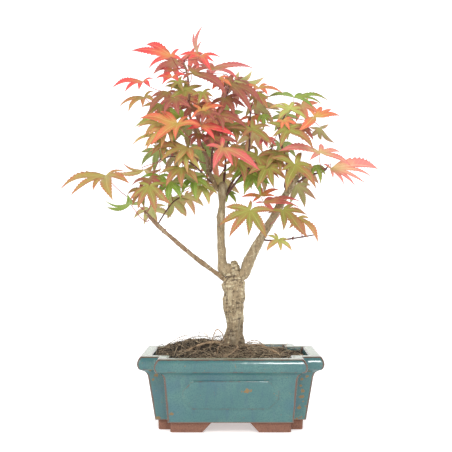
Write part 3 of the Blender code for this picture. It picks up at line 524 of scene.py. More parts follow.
# %% Read the leaves
def read_leaf(name):
    """Hub, facing direction, lobe tips and stalk line of a solid leaf. The hub is the point with the most
    neighbours; the stalk starts at the four points nearest to it; tips are further out than all their
    neighbours."""
    points, faces = mesh_arrays(name)
    near = neighbours_of(faces, len(points))
    top = int(np.argmax([len(n) for n in near]))
    far = np.linalg.norm(points - points[top], axis=1)
    collar = [int(i) for i in np.argsort(far)[1:5]]
    face = unit(points[top] - points[collar].mean(axis=0))
    hub = points[top] - face * 0.4 * MM
    rest = set(range(len(points))) - {top, *collar}
    groups = []
    while rest:
        rings = layers_from([min(rest)], near, rest)
        group = {p for ring in rings for p in ring}
        groups.append(group)
        rest -= group
    stalk = min(groups, key=len)
    blade = max(groups, key=len)
    rings = layers_from(collar, near, stalk | set(collar))
    way = np.array([points[ring].mean(axis=0) for ring in rings])
    reach = np.linalg.norm(points - hub, axis=1)
    tips = [p for p in blade if all(reach[p] > reach[q] for q in near[p])]
    return hub, face, points[tips], way


plans = {}
for name in LEAF_NODES:
    hub, face, tips, way = read_leaf(name)
    plans[name] = {"hub": hub, "face": face, "tips": tips, "way": way, "slot": slot_of(name)}
# This leaf hangs almost edge on, so its solid's lobes lie too close together for separate blades.
far_right = plans["leaf_far_right"]
far_right["face"] = unit(np.array([0.30, -0.86, 0.42]))
HANGING_LOBES = ((3, 60), (-8, 53), (-20, 45), (-34, 35), (-52, 24), (-80, 12), (150, 10))  # degrees, mm
spans = [2 * np.linalg.norm(p["tips"] - p["hub"], axis=1).max() / MM for p in plans.values()]
print("leaves read:", len(plans), "longest lobes, twice, in mm:", round(min(spans)), "to", round(max(spans)))

# %% [markdown]
# A crown of this size carries about a hundred leaves. The solids give the largest; the next list fills in
# the others that face the front, and the one after it the back. Each gets a stalk that lands on a twig.

# %% More leaves for the crown
FORK = np.array([13.5, -1.7, 165.6]) * MM
MORE_LEAVES = (  # finish, hub in mm from the fork, (turn, nod), lobes as (degrees seen from the front, mm)
    ("coral", (-37, -30, 243), (5, 40), ((0, 23), (178, 25), (205, 16), (303, 24), (330, 18))),
    ("orange", (-17, -45, 215), (10, 35), ((200, 14), (245, 18), (285, 19), (325, 18), (5, 12))),
    ("olive", (-34, -50, 199), (-5, 30), ((205, 14), (250, 17), (290, 16), (330, 14), (20, 10))),
    ("orange", (-35, -52, 179), (10, 30), ((43, 16), (13, 25), (150, 12), (222, 16), (310, 14))),
    ("mauve", (-30, -56, 176), (0, 35), ((345, 18), (310, 15), (200, 15), (250, 16), (30, 9))),
    ("mauve", (-19, -40, 178), (10, 35), ((331, 38), (290, 22), (355, 24), (215, 15), (60, 10))),
    ("coral", (-70, -10, 224), (-15, 40), ((186, 20), (5, 17), (220, 16), (320, 15), (150, 12))),
    ("pink", (-69, 0, 234), (-10, 45), ((180, 17), (5, 13), (225, 13), (310, 12))),
    ("olive", (-61, -40, 212), (-5, 35), ((190, 15), (235, 14), (295, 14), (345, 14), (60, 9))),
    ("mauve", (-73, -35, 202), (-10, 30), ((231, 32), (200, 21), (268, 22), (300, 17), (350, 12))),
    ("tan", (-73, -45, 161), (-10, 35), ((229, 34), (203, 23), (258, 26), (290, 19), (340, 14))),
    ("pale", (-86, -15, 157), (-15, 45), ((200, 31), (186, 21), (225, 20), (270, 14), (115, 8))),
    ("mauve", (-94, -30, 107), (-15, 40), ((202, 21), (240, 19), (280, 20), (328, 21), (5, 13))),
    ("mauve", (-39, -30, 156), (0, 30), ((240, 18), (272, 20), (305, 17), (200, 13), (340, 12))),
    ("mauve", (-23, -45, 150), (10, 35), ((350, 29), (318, 18), (200, 13), (255, 16), (30, 10))),
    ("green", (-8, 10, 96), (5, 35), ((306, 19), (270, 15), (340, 13), (232, 12))),
    ("pale", (-54, -40, 133), (5, 30), ((313, 26), (280, 23), (340, 18), (248, 17), (205, 12))),
    ("pink", (33, -20, 81), (10, 50), ((3, 44), (352, 42), (30, 14), (318, 17), (185, 10))),
    ("tan", (72, -15, 65), (15, 35), ((308, 35), (290, 22), (352, 13), (228, 18), (265, 16))),
    ("pale", (49, -25, 40), (10, 35), ((165, 14), (120, 9), (225, 20), (280, 14), (318, 20), (355, 12))),
    ("green", (92, -10, 124), (15, 35), ((280, 23), (248, 16), (312, 17), (335, 13))),
    ("mauve", (74, -25, 166), (10, 30), ((306, 23), (270, 19), (332, 16), (232, 15))),
    ("orange", (28, -15, 211), (10, 45), ((347, 28), (180, 20), (312, 15), (25, 12), (222, 13))),
    ("olive", (24, -20, 203), (5, 35), ((304, 26), (270, 20), (332, 17), (235, 15), (10, 11))),
    ("orange", (53, -45, 169), (10, 40), ((340, 19), (300, 14), (15, 12), (205, 12), (255, 12))),
    ("orange", (20, 5, 181), (5, 35), ((200, 15), (250, 14), (290, 14), (330, 17), (0, 14))),
    ("green", (32, -5, 182), (10, 35), ((270, 21), (240, 14), (300, 14), (335, 11))),
    ("pink", (32, -40, 150), (10, 40), ((325, 17), (290, 13), (352, 15), (240, 11))),
    ("green", (-70, -30, 104), (-5, 30), ((190, 20), (225, 25), (262, 27), (300, 25), (340, 20))),
    ("olive", (-58, -38, 118), (5, 35), ((195, 24), (235, 27), (275, 24), (315, 27), (350, 20))),
    ("green", (-46, -20, 110), (0, 30), ((200, 18), (240, 24), (280, 29), (318, 27), (355, 18))),
    ("green", (-84, -10, 112), (-10, 45), ((185, 23), (220, 22), (260, 20), (305, 20), (350, 16))),
    ("olive", (-100, -25, 96), (-15, 35), ((200, 20), (238, 23), (275, 22), (315, 19), (350, 13))),
    ("pale", (-36, -15, 100), (5, 35), ((215, 16), (255, 22), (290, 25), (330, 21), (5, 14))),
    ("olive", (-80, -20, 190), (-10, 40), ((185, 24), (222, 26), (262, 22), (300, 18), (20, 14))),
    ("tan", (-84, -10, 172), (-15, 40), ((190, 27), (225, 24), (265, 20), (310, 18), (350, 13))),
    ("green", (-70, -10, 168), (-10, 35), ((195, 26), (232, 28), (272, 24), (315, 22), (355, 17))),
    ("mauve", (-64, -50, 192), (-5, 35), ((200, 18), (240, 22), (285, 22), (325, 23), (0, 14))),
    ("olive", (-74, -25, 148), (-10, 45), ((188, 26), (222, 24), (262, 20), (305, 20), (345, 18))),
    ("mauve", (-44, -20, 190), (0, 35), ((200, 20), (240, 24), (285, 25), (325, 24), (0, 16))),
    ("mauve", (-10, -30, 196), (5, 35), ((210, 20), (250, 24), (295, 24), (335, 27), (10, 18))),
    ("olive", (-2, -25, 168), (10, 30), ((200, 22), (240, 24), (280, 25), (320, 27), (0, 20))),
    ("mauve", (-20, -15, 166), (0, 35), ((195, 20), (235, 24), (275, 24), (315, 24), (350, 18))),
    ("tan", (-6, -35, 140), (5, 40), ((205, 20), (245, 24), (288, 25), (330, 27), (10, 16))),
    ("olive", (6, -30, 128), (5, 30), ((200, 20), (238, 26), (280, 27), (320, 28), (355, 20))),
    ("olive", (36, -35, 120), (10, 30), ((205, 24), (245, 28), (285, 27), (325, 28), (0, 22))),
    ("green", (20, -20, 112), (5, 35), ((210, 22), (250, 26), (292, 25), (330, 24), (5, 15))),
    ("olive", (48, -25, 136), (15, 35), ((195, 22), (235, 24), (275, 24), (318, 25), (5, 16))),
)


def facing(turn, nod):
    """Direction that a leaf faces, turned right of the front and lifted, both in degrees."""
    turn, nod = math.radians(turn), math.radians(nod)
    return np.array([math.sin(turn) * math.cos(nod), -math.cos(turn) * math.cos(nod), math.sin(nod)])


def front_tips(lobes, face):
    """Tips from the hub, in the leaf's plane, that show the given angle and length from the front."""
    turn = np.radians([a for a, _ in lobes])
    size = np.array([b for _, b in lobes]) * MM
    x, z = np.cos(turn) * size, np.sin(turn) * size
    return np.stack([x, -(face[0] * x + face[2] * z) / face[1], z], axis=-1)


twig_points = np.vstack([smooth_line(lines[n], 60)[:, :3] for n in lines
                         if n not in ("trunk", "leader", "right_limb")]
                        + [smooth_line(lines["right_limb"], 90)[45:, :3]])


def stalk_way(hub, face, long_enough=14 * MM):
    """Bezier curve from under the hub to a near twig: it leaves away from the face and lands on the bark."""
    away = np.linalg.norm(twig_points - hub, axis=1)
    seat = twig_points[np.argmin(np.abs(away - long_enough) + 0.6 * away)]
    reach = np.linalg.norm(seat - hub)
    lift = unit(hub - seat)
    t = np.linspace(0, 1, 9)[:, None]
    b = hub + ((seat - hub) / reach * 0.7 - face * 0.7) * reach * 0.35
    c = seat + (lift * 0.7 + (0, 0, 0.5)) * reach * 0.3
    return hub * (1 - t) ** 3 + b * 3 * t * (1 - t) ** 2 + c * 3 * t ** 2 * (1 - t) + seat * t ** 3


far_right["tips"] = far_right["hub"] + front_tips(HANGING_LOBES, far_right["face"])
for k, (finish, hub, look, lobes) in enumerate(MORE_LEAVES):
    hub = FORK + np.array(hub) * MM
    face = facing(*look)
    plans[f"leaf_more_{k + 1:02d}"] = {"hub": hub, "face": face, "tips": hub + front_tips(lobes, face),
                                      "way": stalk_way(hub, face), "slot": "maple_leaf_" + finish}
print("leaves so far:", len(plans))

# %% [markdown]
# The leaves at the back follow the tree's own rule: a leaf sits on each twig at a node, leans outward and
# hangs a little, and the young red ones are at the top.

# %% Leaves at the back
BACK_LEAVES = (  # finish, twig, share along it, (turn, nod), size of the longest lobe in mm
    ("coral", "upper_branch", 0.97, (150, 35), 30), ("pink", "upper_branch", 0.90, (-140, 40), 34),
    ("orange", "upper_branch", 0.80, (170, 30), 32), ("coral", "upper_branch", 0.70, (-115, 35), 34),
    ("orange", "upper_branch", 0.58, (145, 40), 36), ("olive", "upper_branch", 0.46, (-160, 35), 36),
    ("mauve", "upper_branch", 0.34, (160, 30), 34), ("green", "left_twig", 0.75, (-150, 35), 32),
    ("mauve", "centre_twig", 0.85, (165, 35), 34), ("orange", "centre_twig", 0.55, (-170, 35), 34),
    ("olive", "right_twig_inner", 0.95, (155, 35), 34), ("tan", "right_twig_inner", 0.65, (-165, 30), 34),
    ("green", "back_twig", 0.80, (-150, 40), 36), ("olive", "back_twig", 0.65, (160, 20), 34),
    ("orange", "right_top_twig", 0.95, (170, 40), 32), ("green", "right_top_twig", 0.70, (150, 30), 32),
    ("olive", "right_limb", 0.95, (165, 30), 32), ("pale", "left_limb", 0.93, (-165, 40), 32),
    ("green", "right_twig_outer", 0.90, (140, 35), 30), ("tan", "left_side_twig", 0.9, (170, 30), 28),
    ("olive", "back_twig", 0.92, (120, 35), 34), ("orange", "back_twig", 0.35, (-140, 25), 32),
    ("tan", "leader", 0.95, (-170, 25), 34), ("green", "upper_branch", 0.25, (175, 25), 36),
    ("olive", "left_twig", 0.45, (-135, 30), 34), ("mauve", "centre_twig", 0.35, (150, 30), 34),
    ("olive", "right_limb", 0.80, (150, 30), 30), ("orange", "upper_branch", 0.64, (100, 30), 34),
)
FAN = ((0, 1.0), (37, 0.92), (-37, 0.92), (76, 0.68), (-76, 0.68), (116, 0.36), (-116, 0.36))
rng = np.random.default_rng(5)
for k, (finish, twig, share, look, size) in enumerate(BACK_LEAVES):
    line = smooth_line(lines[twig], 100)
    seat = line[int(share * 99), :3]
    face = facing(*look)
    outward = unit(face * 0.8 + rng.normal(0, 0.25, 3))
    hub = seat + outward * rng.uniform(16, 26) * MM
    down = np.array([0.0, 0.0, -1.0]) + rng.normal(0, 0.25, 3)
    down = unit(down - face * (down @ face))
    across = np.cross(face, down)
    turn = np.radians([a for a, _ in FAN])[:, None]
    reach = np.array([b for _, b in FAN])[:, None] * size * MM * rng.uniform(0.85, 1.1, (7, 1))
    tips = hub + (down * np.cos(turn) + across * np.sin(turn)) * reach
    plans[f"leaf_back_{k + 1:02d}"] = {"hub": hub, "face": face, "tips": tips,
                                      "way": stalk_way(hub, face), "slot": "maple_leaf_" + finish}
print("leaves in all:", len(plans))

# %% [markdown]
# The blade itself. Shapes like this are easiest in polar form: angle round the hub and distance from it.
# Teeth come from moving every third edge point out, and the bow and droop from a height along the lobe.

# %% Leaf surface
JOINED_ROWS = 5
FREE_ROWS = 30
COLUMNS = np.array([-1.0, -0.66, -0.3, 0.0, 0.3, 0.66, 1.0])
JOINED = 0.30  # share of a lobe's length that is joined to its neighbours
HALF_WIDTH = 0.125  # of a lobe, as a share of its length, where the gap to its neighbour leaves room
GAP_SHARE = 0.19  # half width of a lobe over its length, for each radian of that gap
BOW = 0.10  # rise of the midrib, as a share of its length
LOBE_PEAK = 3.805  # one over the highest value of v^0.7 (1-v)^1.4
WIDE_GAP = math.radians(85)  # the widest gap stays open past this, and others past it are cut deeper
HUB_EDGE = math.radians(32)  # how far the blade runs on into the open gap
BLADE = 0.28 * MM
STALK_ROWS, STALK_SIDES = 26, 8


def leaf_blade(hub, face, tips, seed):
    """One strip of points per lobe. Joined rows go from the midrib to the line halfway to the next lobe.
    Free rows have the half width w0 (1-v)^6 + w1 3.8 v^0.7 (1-v)^1.4, cut into teeth, where v runs from
    the joined part to the tip. The height is the bow 4 b L s (1-s), a crease and a slow twist."""
    rng = np.random.default_rng(seed)
    rel = tips - hub
    right = unit(rel[0] - face * (rel[0] @ face))
    up = np.cross(face, right)
    angle = np.arctan2(rel @ up, rel @ right)
    order = np.argsort(angle)
    angle = angle[order]
    length = np.linalg.norm(rel, axis=1)[order]
    n = len(angle)
    gap = (np.roll(angle, -1) - angle) % math.tau
    wide = (gap > WIDE_GAP) & (np.arange(n) == np.argmax(gap))
    crease = rng.uniform(0.05, 0.45)
    tone = rng.uniform(0, 1, n)
    twist = rng.uniform(-0.35, 0.35, n)
    bend = rng.uniform(-0.05, 0.05, n)
    droop = rng.uniform(0.0, 0.10, n)
    points, along_all, across_all, tone_all = [], [], [], []
    k = np.arange(JOINED_ROWS) / JOINED_ROWS
    v = np.arange(FREE_ROWS + 1) / FREE_ROWS
    for i in range(n):
        size = length[i]
        joined = JOINED * size
        edge_turn, edge_far, edge_high = [], [], []
        for j, way in ((i - 1, -1), (i, 1)):
            other = (i - 1) % n if way < 0 else (i + 1) % n
            if wide[j]:
                edge_turn.append(way * HUB_EDGE)
                edge_far.append(0.5 * joined)
                s = edge_far[-1] * np.append(k, 1.0) / size
                high = 4 * BOW * size * s * (1 - s)
            else:
                edge_turn.append(way * gap[j] / 2)
                deep = 0.45 if gap[j] > WIDE_GAP else 1.0
                edge_far.append(deep * JOINED * min(size, length[other]))
                high = 0
                for one in (size, length[other]):
                    s = edge_far[-1] * np.append(k, 1.0) / one
                    high = high + 2 * BOW * one * s * (1 - s)
            edge_high.append((high[:-1], high[-1]))
        t = COLUMNS[None, :]
        far_side = (t > 0).astype(int)
        turn = np.where(far_side, edge_turn[1], edge_turn[0]) * np.abs(t)
        # joined rows, in polar form round the hub
        far_edge = np.where(far_side, edge_far[1], edge_far[0])
        reach = k[:, None] * (joined * (1 - t ** 2) + far_edge * t ** 2)
        s = k[:, None] * joined / size
        high_mid = 4 * BOW * size * s * (1 - s)
        high_edge = np.where(far_side, edge_high[1][0][:, None], edge_high[0][0][:, None])
        high = high_mid * (1 - t ** 2) + high_edge * t ** 2
        x1, y1, h1 = reach * np.cos(turn), reach * np.sin(turn), high
        # free rows, along and across the lobe
        s = joined / size + v[:, None] * (1 - joined / size)
        w0 = np.where(far_side, edge_far[1] * math.sin(edge_turn[1]), edge_far[0] * math.sin(-edge_turn[0]))
        back = np.where(far_side, edge_far[1] * math.cos(edge_turn[1]), edge_far[0] * math.cos(edge_turn[0]))
        fade = (1 - v[:, None]) ** 6
        room = np.where(far_side, min(HALF_WIDTH, GAP_SHARE * gap[i]),
                        min(HALF_WIDTH, GAP_SHARE * gap[i - 1]))
        lobe = room * size * LOBE_PEAK * v[:, None] ** 0.7 * (1 - v[:, None]) ** 1.4
        teeth = ((np.arange(FREE_ROWS + 1) % 3) / 2)[:, None] - 0.5
        teeth = teeth * np.minimum(v * 6, 1)[:, None] * (np.abs(t) > 0.9)
        w = (w0 * fade + lobe) * (1 + 0.26 * teeth)
        x2 = s * size + (back - joined) * fade * t ** 2
        y2 = t * w
        side_high = 4 * BOW * size * s * (1 - s)
        edge_end = np.where(far_side, edge_high[1][1], edge_high[0][1])
        first_high = side_high[0, 0]
        h2 = side_high + (edge_end - first_high) * fade * t ** 2
        h2 = h2 + crease * np.abs(y2) * (1 - fade) + y2 * twist[i] * v[:, None]
        h2 = h2 - droop[i] * size * v[:, None] ** 2
        y2 = y2 + bend[i] * size * 4 * v[:, None] * (1 - v[:, None])
        x, y, h = (np.concatenate([p, q]) for p, q in ((x1, x2), (y1, y2), (h1, h2)))
        ca, sa = math.cos(angle[i]), math.sin(angle[i])
        flat = (x * ca - y * sa)[..., None] * right + (x * sa + y * ca)[..., None] * up
        points.append((hub + flat + h[..., None] * face).reshape(-1, 3))
        share = np.concatenate([k * JOINED, s[:, 0]])
        along_all.append(np.repeat(share, len(COLUMNS)))
        across_all.append(np.tile(np.abs(COLUMNS), len(share)))
        tone_all.append(np.full(len(share) * len(COLUMNS), tone[i]))
    rows = JOINED_ROWS + FREE_ROWS + 1
    faces = grid_faces(rows, len(COLUMNS), False)[:, ::-1]
    per = rows * len(COLUMNS)
    faces = np.concatenate([faces + per * i for i in range(n)])
    values = {"along": np.concatenate(along_all), "across": np.concatenate(across_all),
              "tone": np.concatenate(tone_all)}
    return welded(np.concatenate(points), faces, values)


def leaf_mesh(plan, seed):
    """Blade and stalk of a leaf: points, faces, values per point, and 1 for the stalk's faces."""
    points, faces, values = leaf_blade(plan["hub"], plan["face"], plan["tips"], seed)
    points, faces, under = shell(points, faces, BLADE)
    values = {key: np.tile(v, 2) for key, v in values.items()}
    values["under"] = under
    values["shade"] = np.full(len(points), np.random.default_rng(seed + 900).uniform(0, 1))
    way = smooth_line(plan["way"], STALK_ROWS)
    share = np.linspace(0, 1, STALK_ROWS)
    radius = (0.40 + 0.12 * share + 0.5 * np.exp(-((1 - share) / 0.05) ** 2)) * MM
    stalk, stalk_faces = pipe(np.column_stack([way, radius]), STALK_SIDES)
    stalk, stalk_faces, extra = welded(stalk, stalk_faces, {"along": np.repeat(share, STALK_SIDES)})
    which = np.concatenate([np.zeros(len(faces)), np.ones(len(stalk_faces))])
    faces = np.concatenate([faces, stalk_faces + len(points)])
    fill = {"along": extra["along"], "across": np.zeros(len(stalk)), "tone": np.zeros(len(stalk)),
            "under": np.zeros(len(stalk)), "shade": np.zeros(len(stalk))}
    values = {key: np.concatenate([v, fill[key]]) for key, v in values.items()}
    return np.concatenate([points, stalk]), faces, values, which


print("rows and columns of a lobe:", JOINED_ROWS + FREE_ROWS + 1, len(COLUMNS))

# %% [markdown]
# A maple leaf in its spring and autumn colours isn't one colour. The hub and the veins stay yellow green,
# the lobes carry the main colour, and their margins and tips burn red. Each lobe also differs a little.
# The blade's own values say where a point is: along its lobe, across it, and on which side of the leaf.

# %% Leaf materials
def leaf_material(name, heart, body, edge, vein, burn):
    """A thin waxy maple leaf: body colour, edge colour that creeps in from tips and margins by the amount
    of burn, heart colour at the hub, a fine midrib, side veins about 3 mm apart and a paler underside."""
    material, tree, shader, place = start_material(name)
    along, across, tone, under, shade = (add(tree, VALUE, {"attribute_name": key}, {}, "Fac")
                                         for key in ("along", "across", "tone", "under", "shade"))
    blotch = add(tree, NOISE, {}, {"Vector": place, "Scale": 150.0, "Detail": 3.0})
    speck = add(tree, NOISE, {}, {"Vector": place, "Scale": 700.0, "Detail": 4.0})
    # how far the edge colour has crept: 0.55 a^1.5 + 0.38 c^2 + 1.3 blotch + 0.42 tone + burn - 0.95
    tip_share = add(tree, MATH, {"operation": "POWER"}, {0: along, 1: 1.5})
    rim_share = add(tree, MATH, {"operation": "POWER"}, {0: across, 1: 2.0})
    creep = add(tree, MATH, TIMES_ADD, {0: tip_share, 1: 0.55, 2: burn - 0.95})
    creep = add(tree, MATH, TIMES_ADD, {0: rim_share, 1: 0.38, 2: creep})
    creep = add(tree, MATH, TIMES_ADD, {0: blotch, 1: 1.3, 2: creep})
    creep = add(tree, MATH, TIMES_ADD, {0: tone, 1: 0.42, 2: creep})
    burnt = add(tree, RANGE, SMOOTH, {0: creep, 1: 0.05, 2: 0.80})
    colour = add(tree, MIX, COLOUR, {0: burnt, 6: linear(body), 7: linear(edge)}, 2)
    margin = add(tree, RANGE, SMOOTH, {0: across, 1: 0.80, 2: 0.98, 4: 0.55})
    colour = add(tree, MIX, COLOUR, {0: margin, 6: colour, 7: linear(edge)}, 2)
    hub = add(tree, RANGE, SMOOTH, {0: along, 1: 0.55, 2: 0.0, 4: 0.8})
    colour = add(tree, MIX, COLOUR, {0: hub, 6: colour, 7: linear(heart)}, 2)
    # side veins run outward and forward: the wave 11 a - 1.5 c folds back at each half
    lean = add(tree, MATH, TIMES, {0: across, 1: -1.5})
    wave = add(tree, MATH, TIMES_ADD, {0: along, 1: 11.0, 2: lean})
    ridge = add(tree, MATH, {"operation": "PINGPONG"}, {0: wave, 1: 0.5})
    side_vein = add(tree, RANGE, SMOOTH, {0: ridge, 1: 0.09, 2: 0.0, 4: 0.25})
    colour = add(tree, MIX, COLOUR, {0: side_vein, 6: colour, 7: linear(vein)}, 2)
    midrib = add(tree, RANGE, SMOOTH, {0: across, 1: 0.13, 2: 0.02, 4: 0.55})
    colour = add(tree, MIX, COLOUR, {0: midrib, 6: colour, 7: linear(vein)}, 2)
    # the underside is paler, some leaves are duller, and a few spots are brown
    pale = add(tree, MATH, TIMES, {0: under, 1: 0.12})
    colour = add(tree, MIX, COLOUR, {0: pale, 6: colour, 7: linear("FFF1D8")}, 2)
    spots = add(tree, RANGE, SMOOTH, {0: speck, 1: 0.66, 2: 0.80, 4: 0.4})
    colour = add(tree, MIX, COLOUR, {0: spots, 6: colour, 7: linear("3A1F18")}, 2)
    dull = add(tree, MATH, TIMES, {0: shade, 1: 0.15})
    colour = add(tree, MIX, COLOUR, {0: dull, 6: colour, 7: linear("4A3A20")}, 2)
    sunk = add(tree, MATH, TIMES, {0: side_vein, 1: -1.0})
    height = add(tree, MATH, TIMES_ADD, {0: speck, 1: 0.3, 2: sunk})
    bump = add(tree, BUMP, {}, {"Strength": 0.5, "Distance": 0.3 * MM, "Height": height})
    tree.links.new(colour, shader.inputs["Base Color"])
    tree.links.new(bump, shader.inputs["Normal"])
    shader.inputs["Roughness"].default_value = 0.5
    shader.inputs["Specular IOR Level"].default_value = 0.3
    return material


LEAF_COLOURS = {  # heart, body, edge, vein, burn
    "coral": ("CC9658", "D66450", "E04E50", "E8A682", 0.48),
    "pink": ("AE9856", "BC6C56", "CC5C5E", "D8A080", 0.40),
    "orange": ("B6A452", "CC8250", "DC6A50", "DEBC7A", 0.32),
    "mauve": ("8E8040", "8E5A42", "9C4E48", "B09060", 0.32),
    "olive": ("98984A", "86823C", "A6684A", "B4B066", 0.12),
    "green": ("9AB048", "7E9C40", "9A8846", "BECC74", -0.06),
    "pale": ("B8C068", "AEB05E", "C4885E", "D0D28A", 0.05),
    "tan": ("B6AA58", "B09C56", "C07852", "CEBC7E", 0.12),
    "salmon": ("C8BA78", "DA9E80", "DE8078", "EEC8AA", 0.38),
}
leaf_looks = {"maple_leaf_" + k: leaf_material("waxy_maple_leaf_" + k, *v) for k, v in LEAF_COLOURS.items()}


def stalk_material():
    """A maple leaf stalk: smooth, waxy and crimson, paler near the blade and along streaks."""
    material, tree, shader, place = start_material("waxy_crimson_leaf_stalk")
    along = add(tree, VALUE, {"attribute_name": "along"}, {}, "Fac")
    streak = add(tree, NOISE, {}, {"Vector": place, "Scale": 260.0, "Detail": 3.0})
    darker = add(tree, RANGE, SMOOTH, {0: along, 1: 0.0, 2: 0.8})
    colour = add(tree, MIX, COLOUR, {0: darker, 6: linear("B0504C"), 7: linear("8E2F3A")}, 2)
    light = add(tree, RANGE, SMOOTH, {0: streak, 1: 0.5, 2: 0.7, 4: 0.5})
    colour = add(tree, MIX, COLOUR, {0: light, 6: colour, 7: linear("C88A60")}, 2)
    tree.links.new(colour, shader.inputs["Base Color"])
    shader.inputs["Roughness"].default_value = 0.4
    return material


leaf_stalk = stalk_material()
OWN_LOOK = {"leaf_far_right": "salmon", "leaf_right_pink": "salmon", "leaf_left_broad": "tan"}
count = 0
for seed, (name, plan) in enumerate(sorted(plans.items())):
    points, faces, values, which = leaf_mesh(plan, 100 + seed)
    finish = OWN_LOOK.get(name, plan["slot"].replace("maple_leaf_", ""))
    piece = object_from(name.replace("leaf_", "maple_leaf_"), points, faces,
                        [leaf_looks["maple_leaf_" + finish], leaf_stalk], values, which)
    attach(piece, "root")
    if name in nodes:
        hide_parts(name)
    count += len(faces)
print("leaf triangles:", count)

# %% [markdown]
# ## Pot
# The pot is stoneware, pressed in a mould: an upright rectangle with stepped corners, a thick rolled lip and
# four feet, glazed down to the feet. The outline is a polygon of twelve corners with short curves at each,
# and its size follows the height. The arches between the feet and the drain holes are cut afterwards, as
# they would be in the clay. A low octagonal panel stands proud of each face.

# %% Pot surface
POT_HALF = (pot_high - pot_low)[:2] / 2
POT_TOP = pot_high[2]
POT_PLACE = (pot_middle[0], pot_middle[1], 0.0)
FOOT = 11 * MM
FLOOR = 7 * MM
LIP = 14 * MM
ROUND = 2.5 * MM


def notch_at(height):
    """Side of the square cut from each corner of the outline: 13.5 mm at the foot, 7 mm more at the rim."""
    return (13.5 + 7.0 * height / POT_TOP) * MM


def pot_outline(inset, notch, rounding=2.6 * MM):
    """Outline for each row: a rectangle moved in by the inset, less a square of the notch's size at each
    corner. Each of the twelve corners is a Bezier curve, and the straight parts are evenly divided."""
    x = POT_HALF[0] - inset
    y = POT_HALF[1] - inset
    steps = [(x, y - notch), (x - notch, y - notch), (x - notch, y)]
    corners = []
    for sx, sy, order in ((1, 1, 1), (-1, 1, -1), (-1, -1, 1), (1, -1, -1)):
        corners += [np.stack([sx * a, sy * b], -1) for a, b in steps[::order]]
    corners = np.stack(corners, axis=1)
    ahead = np.roll(corners, -1, axis=1)
    behind = np.roll(corners, 1, axis=1)
    start = corners + unit(behind - corners) * rounding
    end = corners + unit(ahead - corners) * rounding
    parts = []
    t = np.linspace(0, 1, 6)[:, None]
    for i in range(12):
        a, b, c = (p[:, None, i] for p in (start, corners, end))
        parts.append(a * (1 - t) ** 2 + b * 2 * t * (1 - t) + c * t ** 2)
        following = start[:, None, (i + 1) % 12]
        many = 9 if i % 3 != 2 else 96 if i in (2, 8) else 66  # steps, long walls, short walls
        u = np.linspace(0, 1, many + 2)[1:-1, None]
        parts.append(end[:, None, i] * (1 - u) + following * u)
    return np.concatenate(parts, axis=1)


def fine_profile(corners, spacing):
    """Points along a profile of straight parts, each part divided evenly."""
    corners = np.array(corners)
    parts = []
    for a, b in zip(corners, corners[1:]):
        many = max(1, int(round(np.linalg.norm(b - a) / spacing)))
        u = np.arange(many)[:, None] / many
        parts.append(a + (b - a) * u)
    return np.concatenate(parts + [corners[-1:]])


lip_low = POT_TOP - LIP
floor_top = FOOT + FLOOR
turn = np.linspace(0, math.pi / 2, 7)
rim_inner = [(13 * MM + ROUND * math.sin(a), POT_TOP - ROUND * (1 - math.cos(a))) for a in turn]
outside = [(18.5 * MM, FOOT), (11 * MM, lip_low - 9 * MM), (10.3 * MM, lip_low - 6.4 * MM),
           (9.0 * MM, lip_low - 4 * MM), (6.9 * MM, lip_low - 2.1 * MM), (4.4 * MM, lip_low - 0.8 * MM),
           (2.4 * MM, lip_low + 0.2 * MM), (1.2 * MM, lip_low + 1.6 * MM), (0.5 * MM, lip_low + 3.6 * MM),
           (0.1 * MM, lip_low + 5 * MM), (0.0, lip_low + 6 * MM), (0.12 * MM, lip_low + 7.5 * MM),
           (0.48 * MM, lip_low + 9 * MM), (1.05 * MM, lip_low + 10.5 * MM), (1.8 * MM, lip_low + 12 * MM),
           (2.5 * MM, lip_low + 13 * MM), (3.4 * MM, lip_low + 13.7 * MM), (4.4 * MM, POT_TOP)]
inside = [(18.2 * MM, lip_low), (25.2 * MM, floor_top + 5 * MM), (29 * MM, floor_top)]
profile = np.vstack([
    [(35 * MM, FOOT), (35 * MM, 0.6 * MM), (34.4 * MM, 0.0), (22.6 * MM, 0.0), (22 * MM, 0.6 * MM)],
    fine_profile([(22 * MM, 0.8 * MM), (21.6 * MM, FOOT - 0.8 * MM), (19.4 * MM, FOOT - 0.2 * MM)], 2 * MM),
    fine_profile(outside, 1.3 * MM),
    fine_profile([(5 * MM, POT_TOP), (13 * MM, POT_TOP)], 2 * MM)[:-1],
    rim_inner,
    fine_profile(inside, 3 * MM),
])
inset, height = profile[:, 0], profile[:, 1]
ring = pot_outline(inset, notch_at(height))
pot_points = np.concatenate([ring, np.repeat(height[:, None, None], ring.shape[1], axis=1)], axis=2)
print("pot rows and columns:", pot_points.shape[:2])

# %% [markdown]
# The relief is pressed into the same grid: points on a flat face are pushed out inside the panel and in
# along its outline. The arches and drain holes change the form's topology, so they are cut with solids.

# %% Pot relief and body
def panel_distance(across, high, half_across, half_high, middle, chamfer):
    """Distance outside an upright rectangle with cut corners, negative inside it."""
    a = np.abs(across) - half_across
    b = np.abs(high - middle) - half_high
    return np.maximum(np.maximum(a, b), (a + b + chamfer) / math.sqrt(2))


def panel_of(points, which_axis):
    """Distance outside the raised panel of the front and back (axis 0) or of the two sides (axis 1)."""
    half = (51 if which_axis == 0 else 28) * MM
    return panel_distance(points[..., which_axis], points[..., 2], half, 15.5 * MM, 41 * MM, 11 * MM)


def step_between(value, low, high):
    """0 below low, 1 above high, and a smooth S between them."""
    t = np.clip((value - low) / (high - low), 0, 1)
    return t * t * (3 - 2 * t)


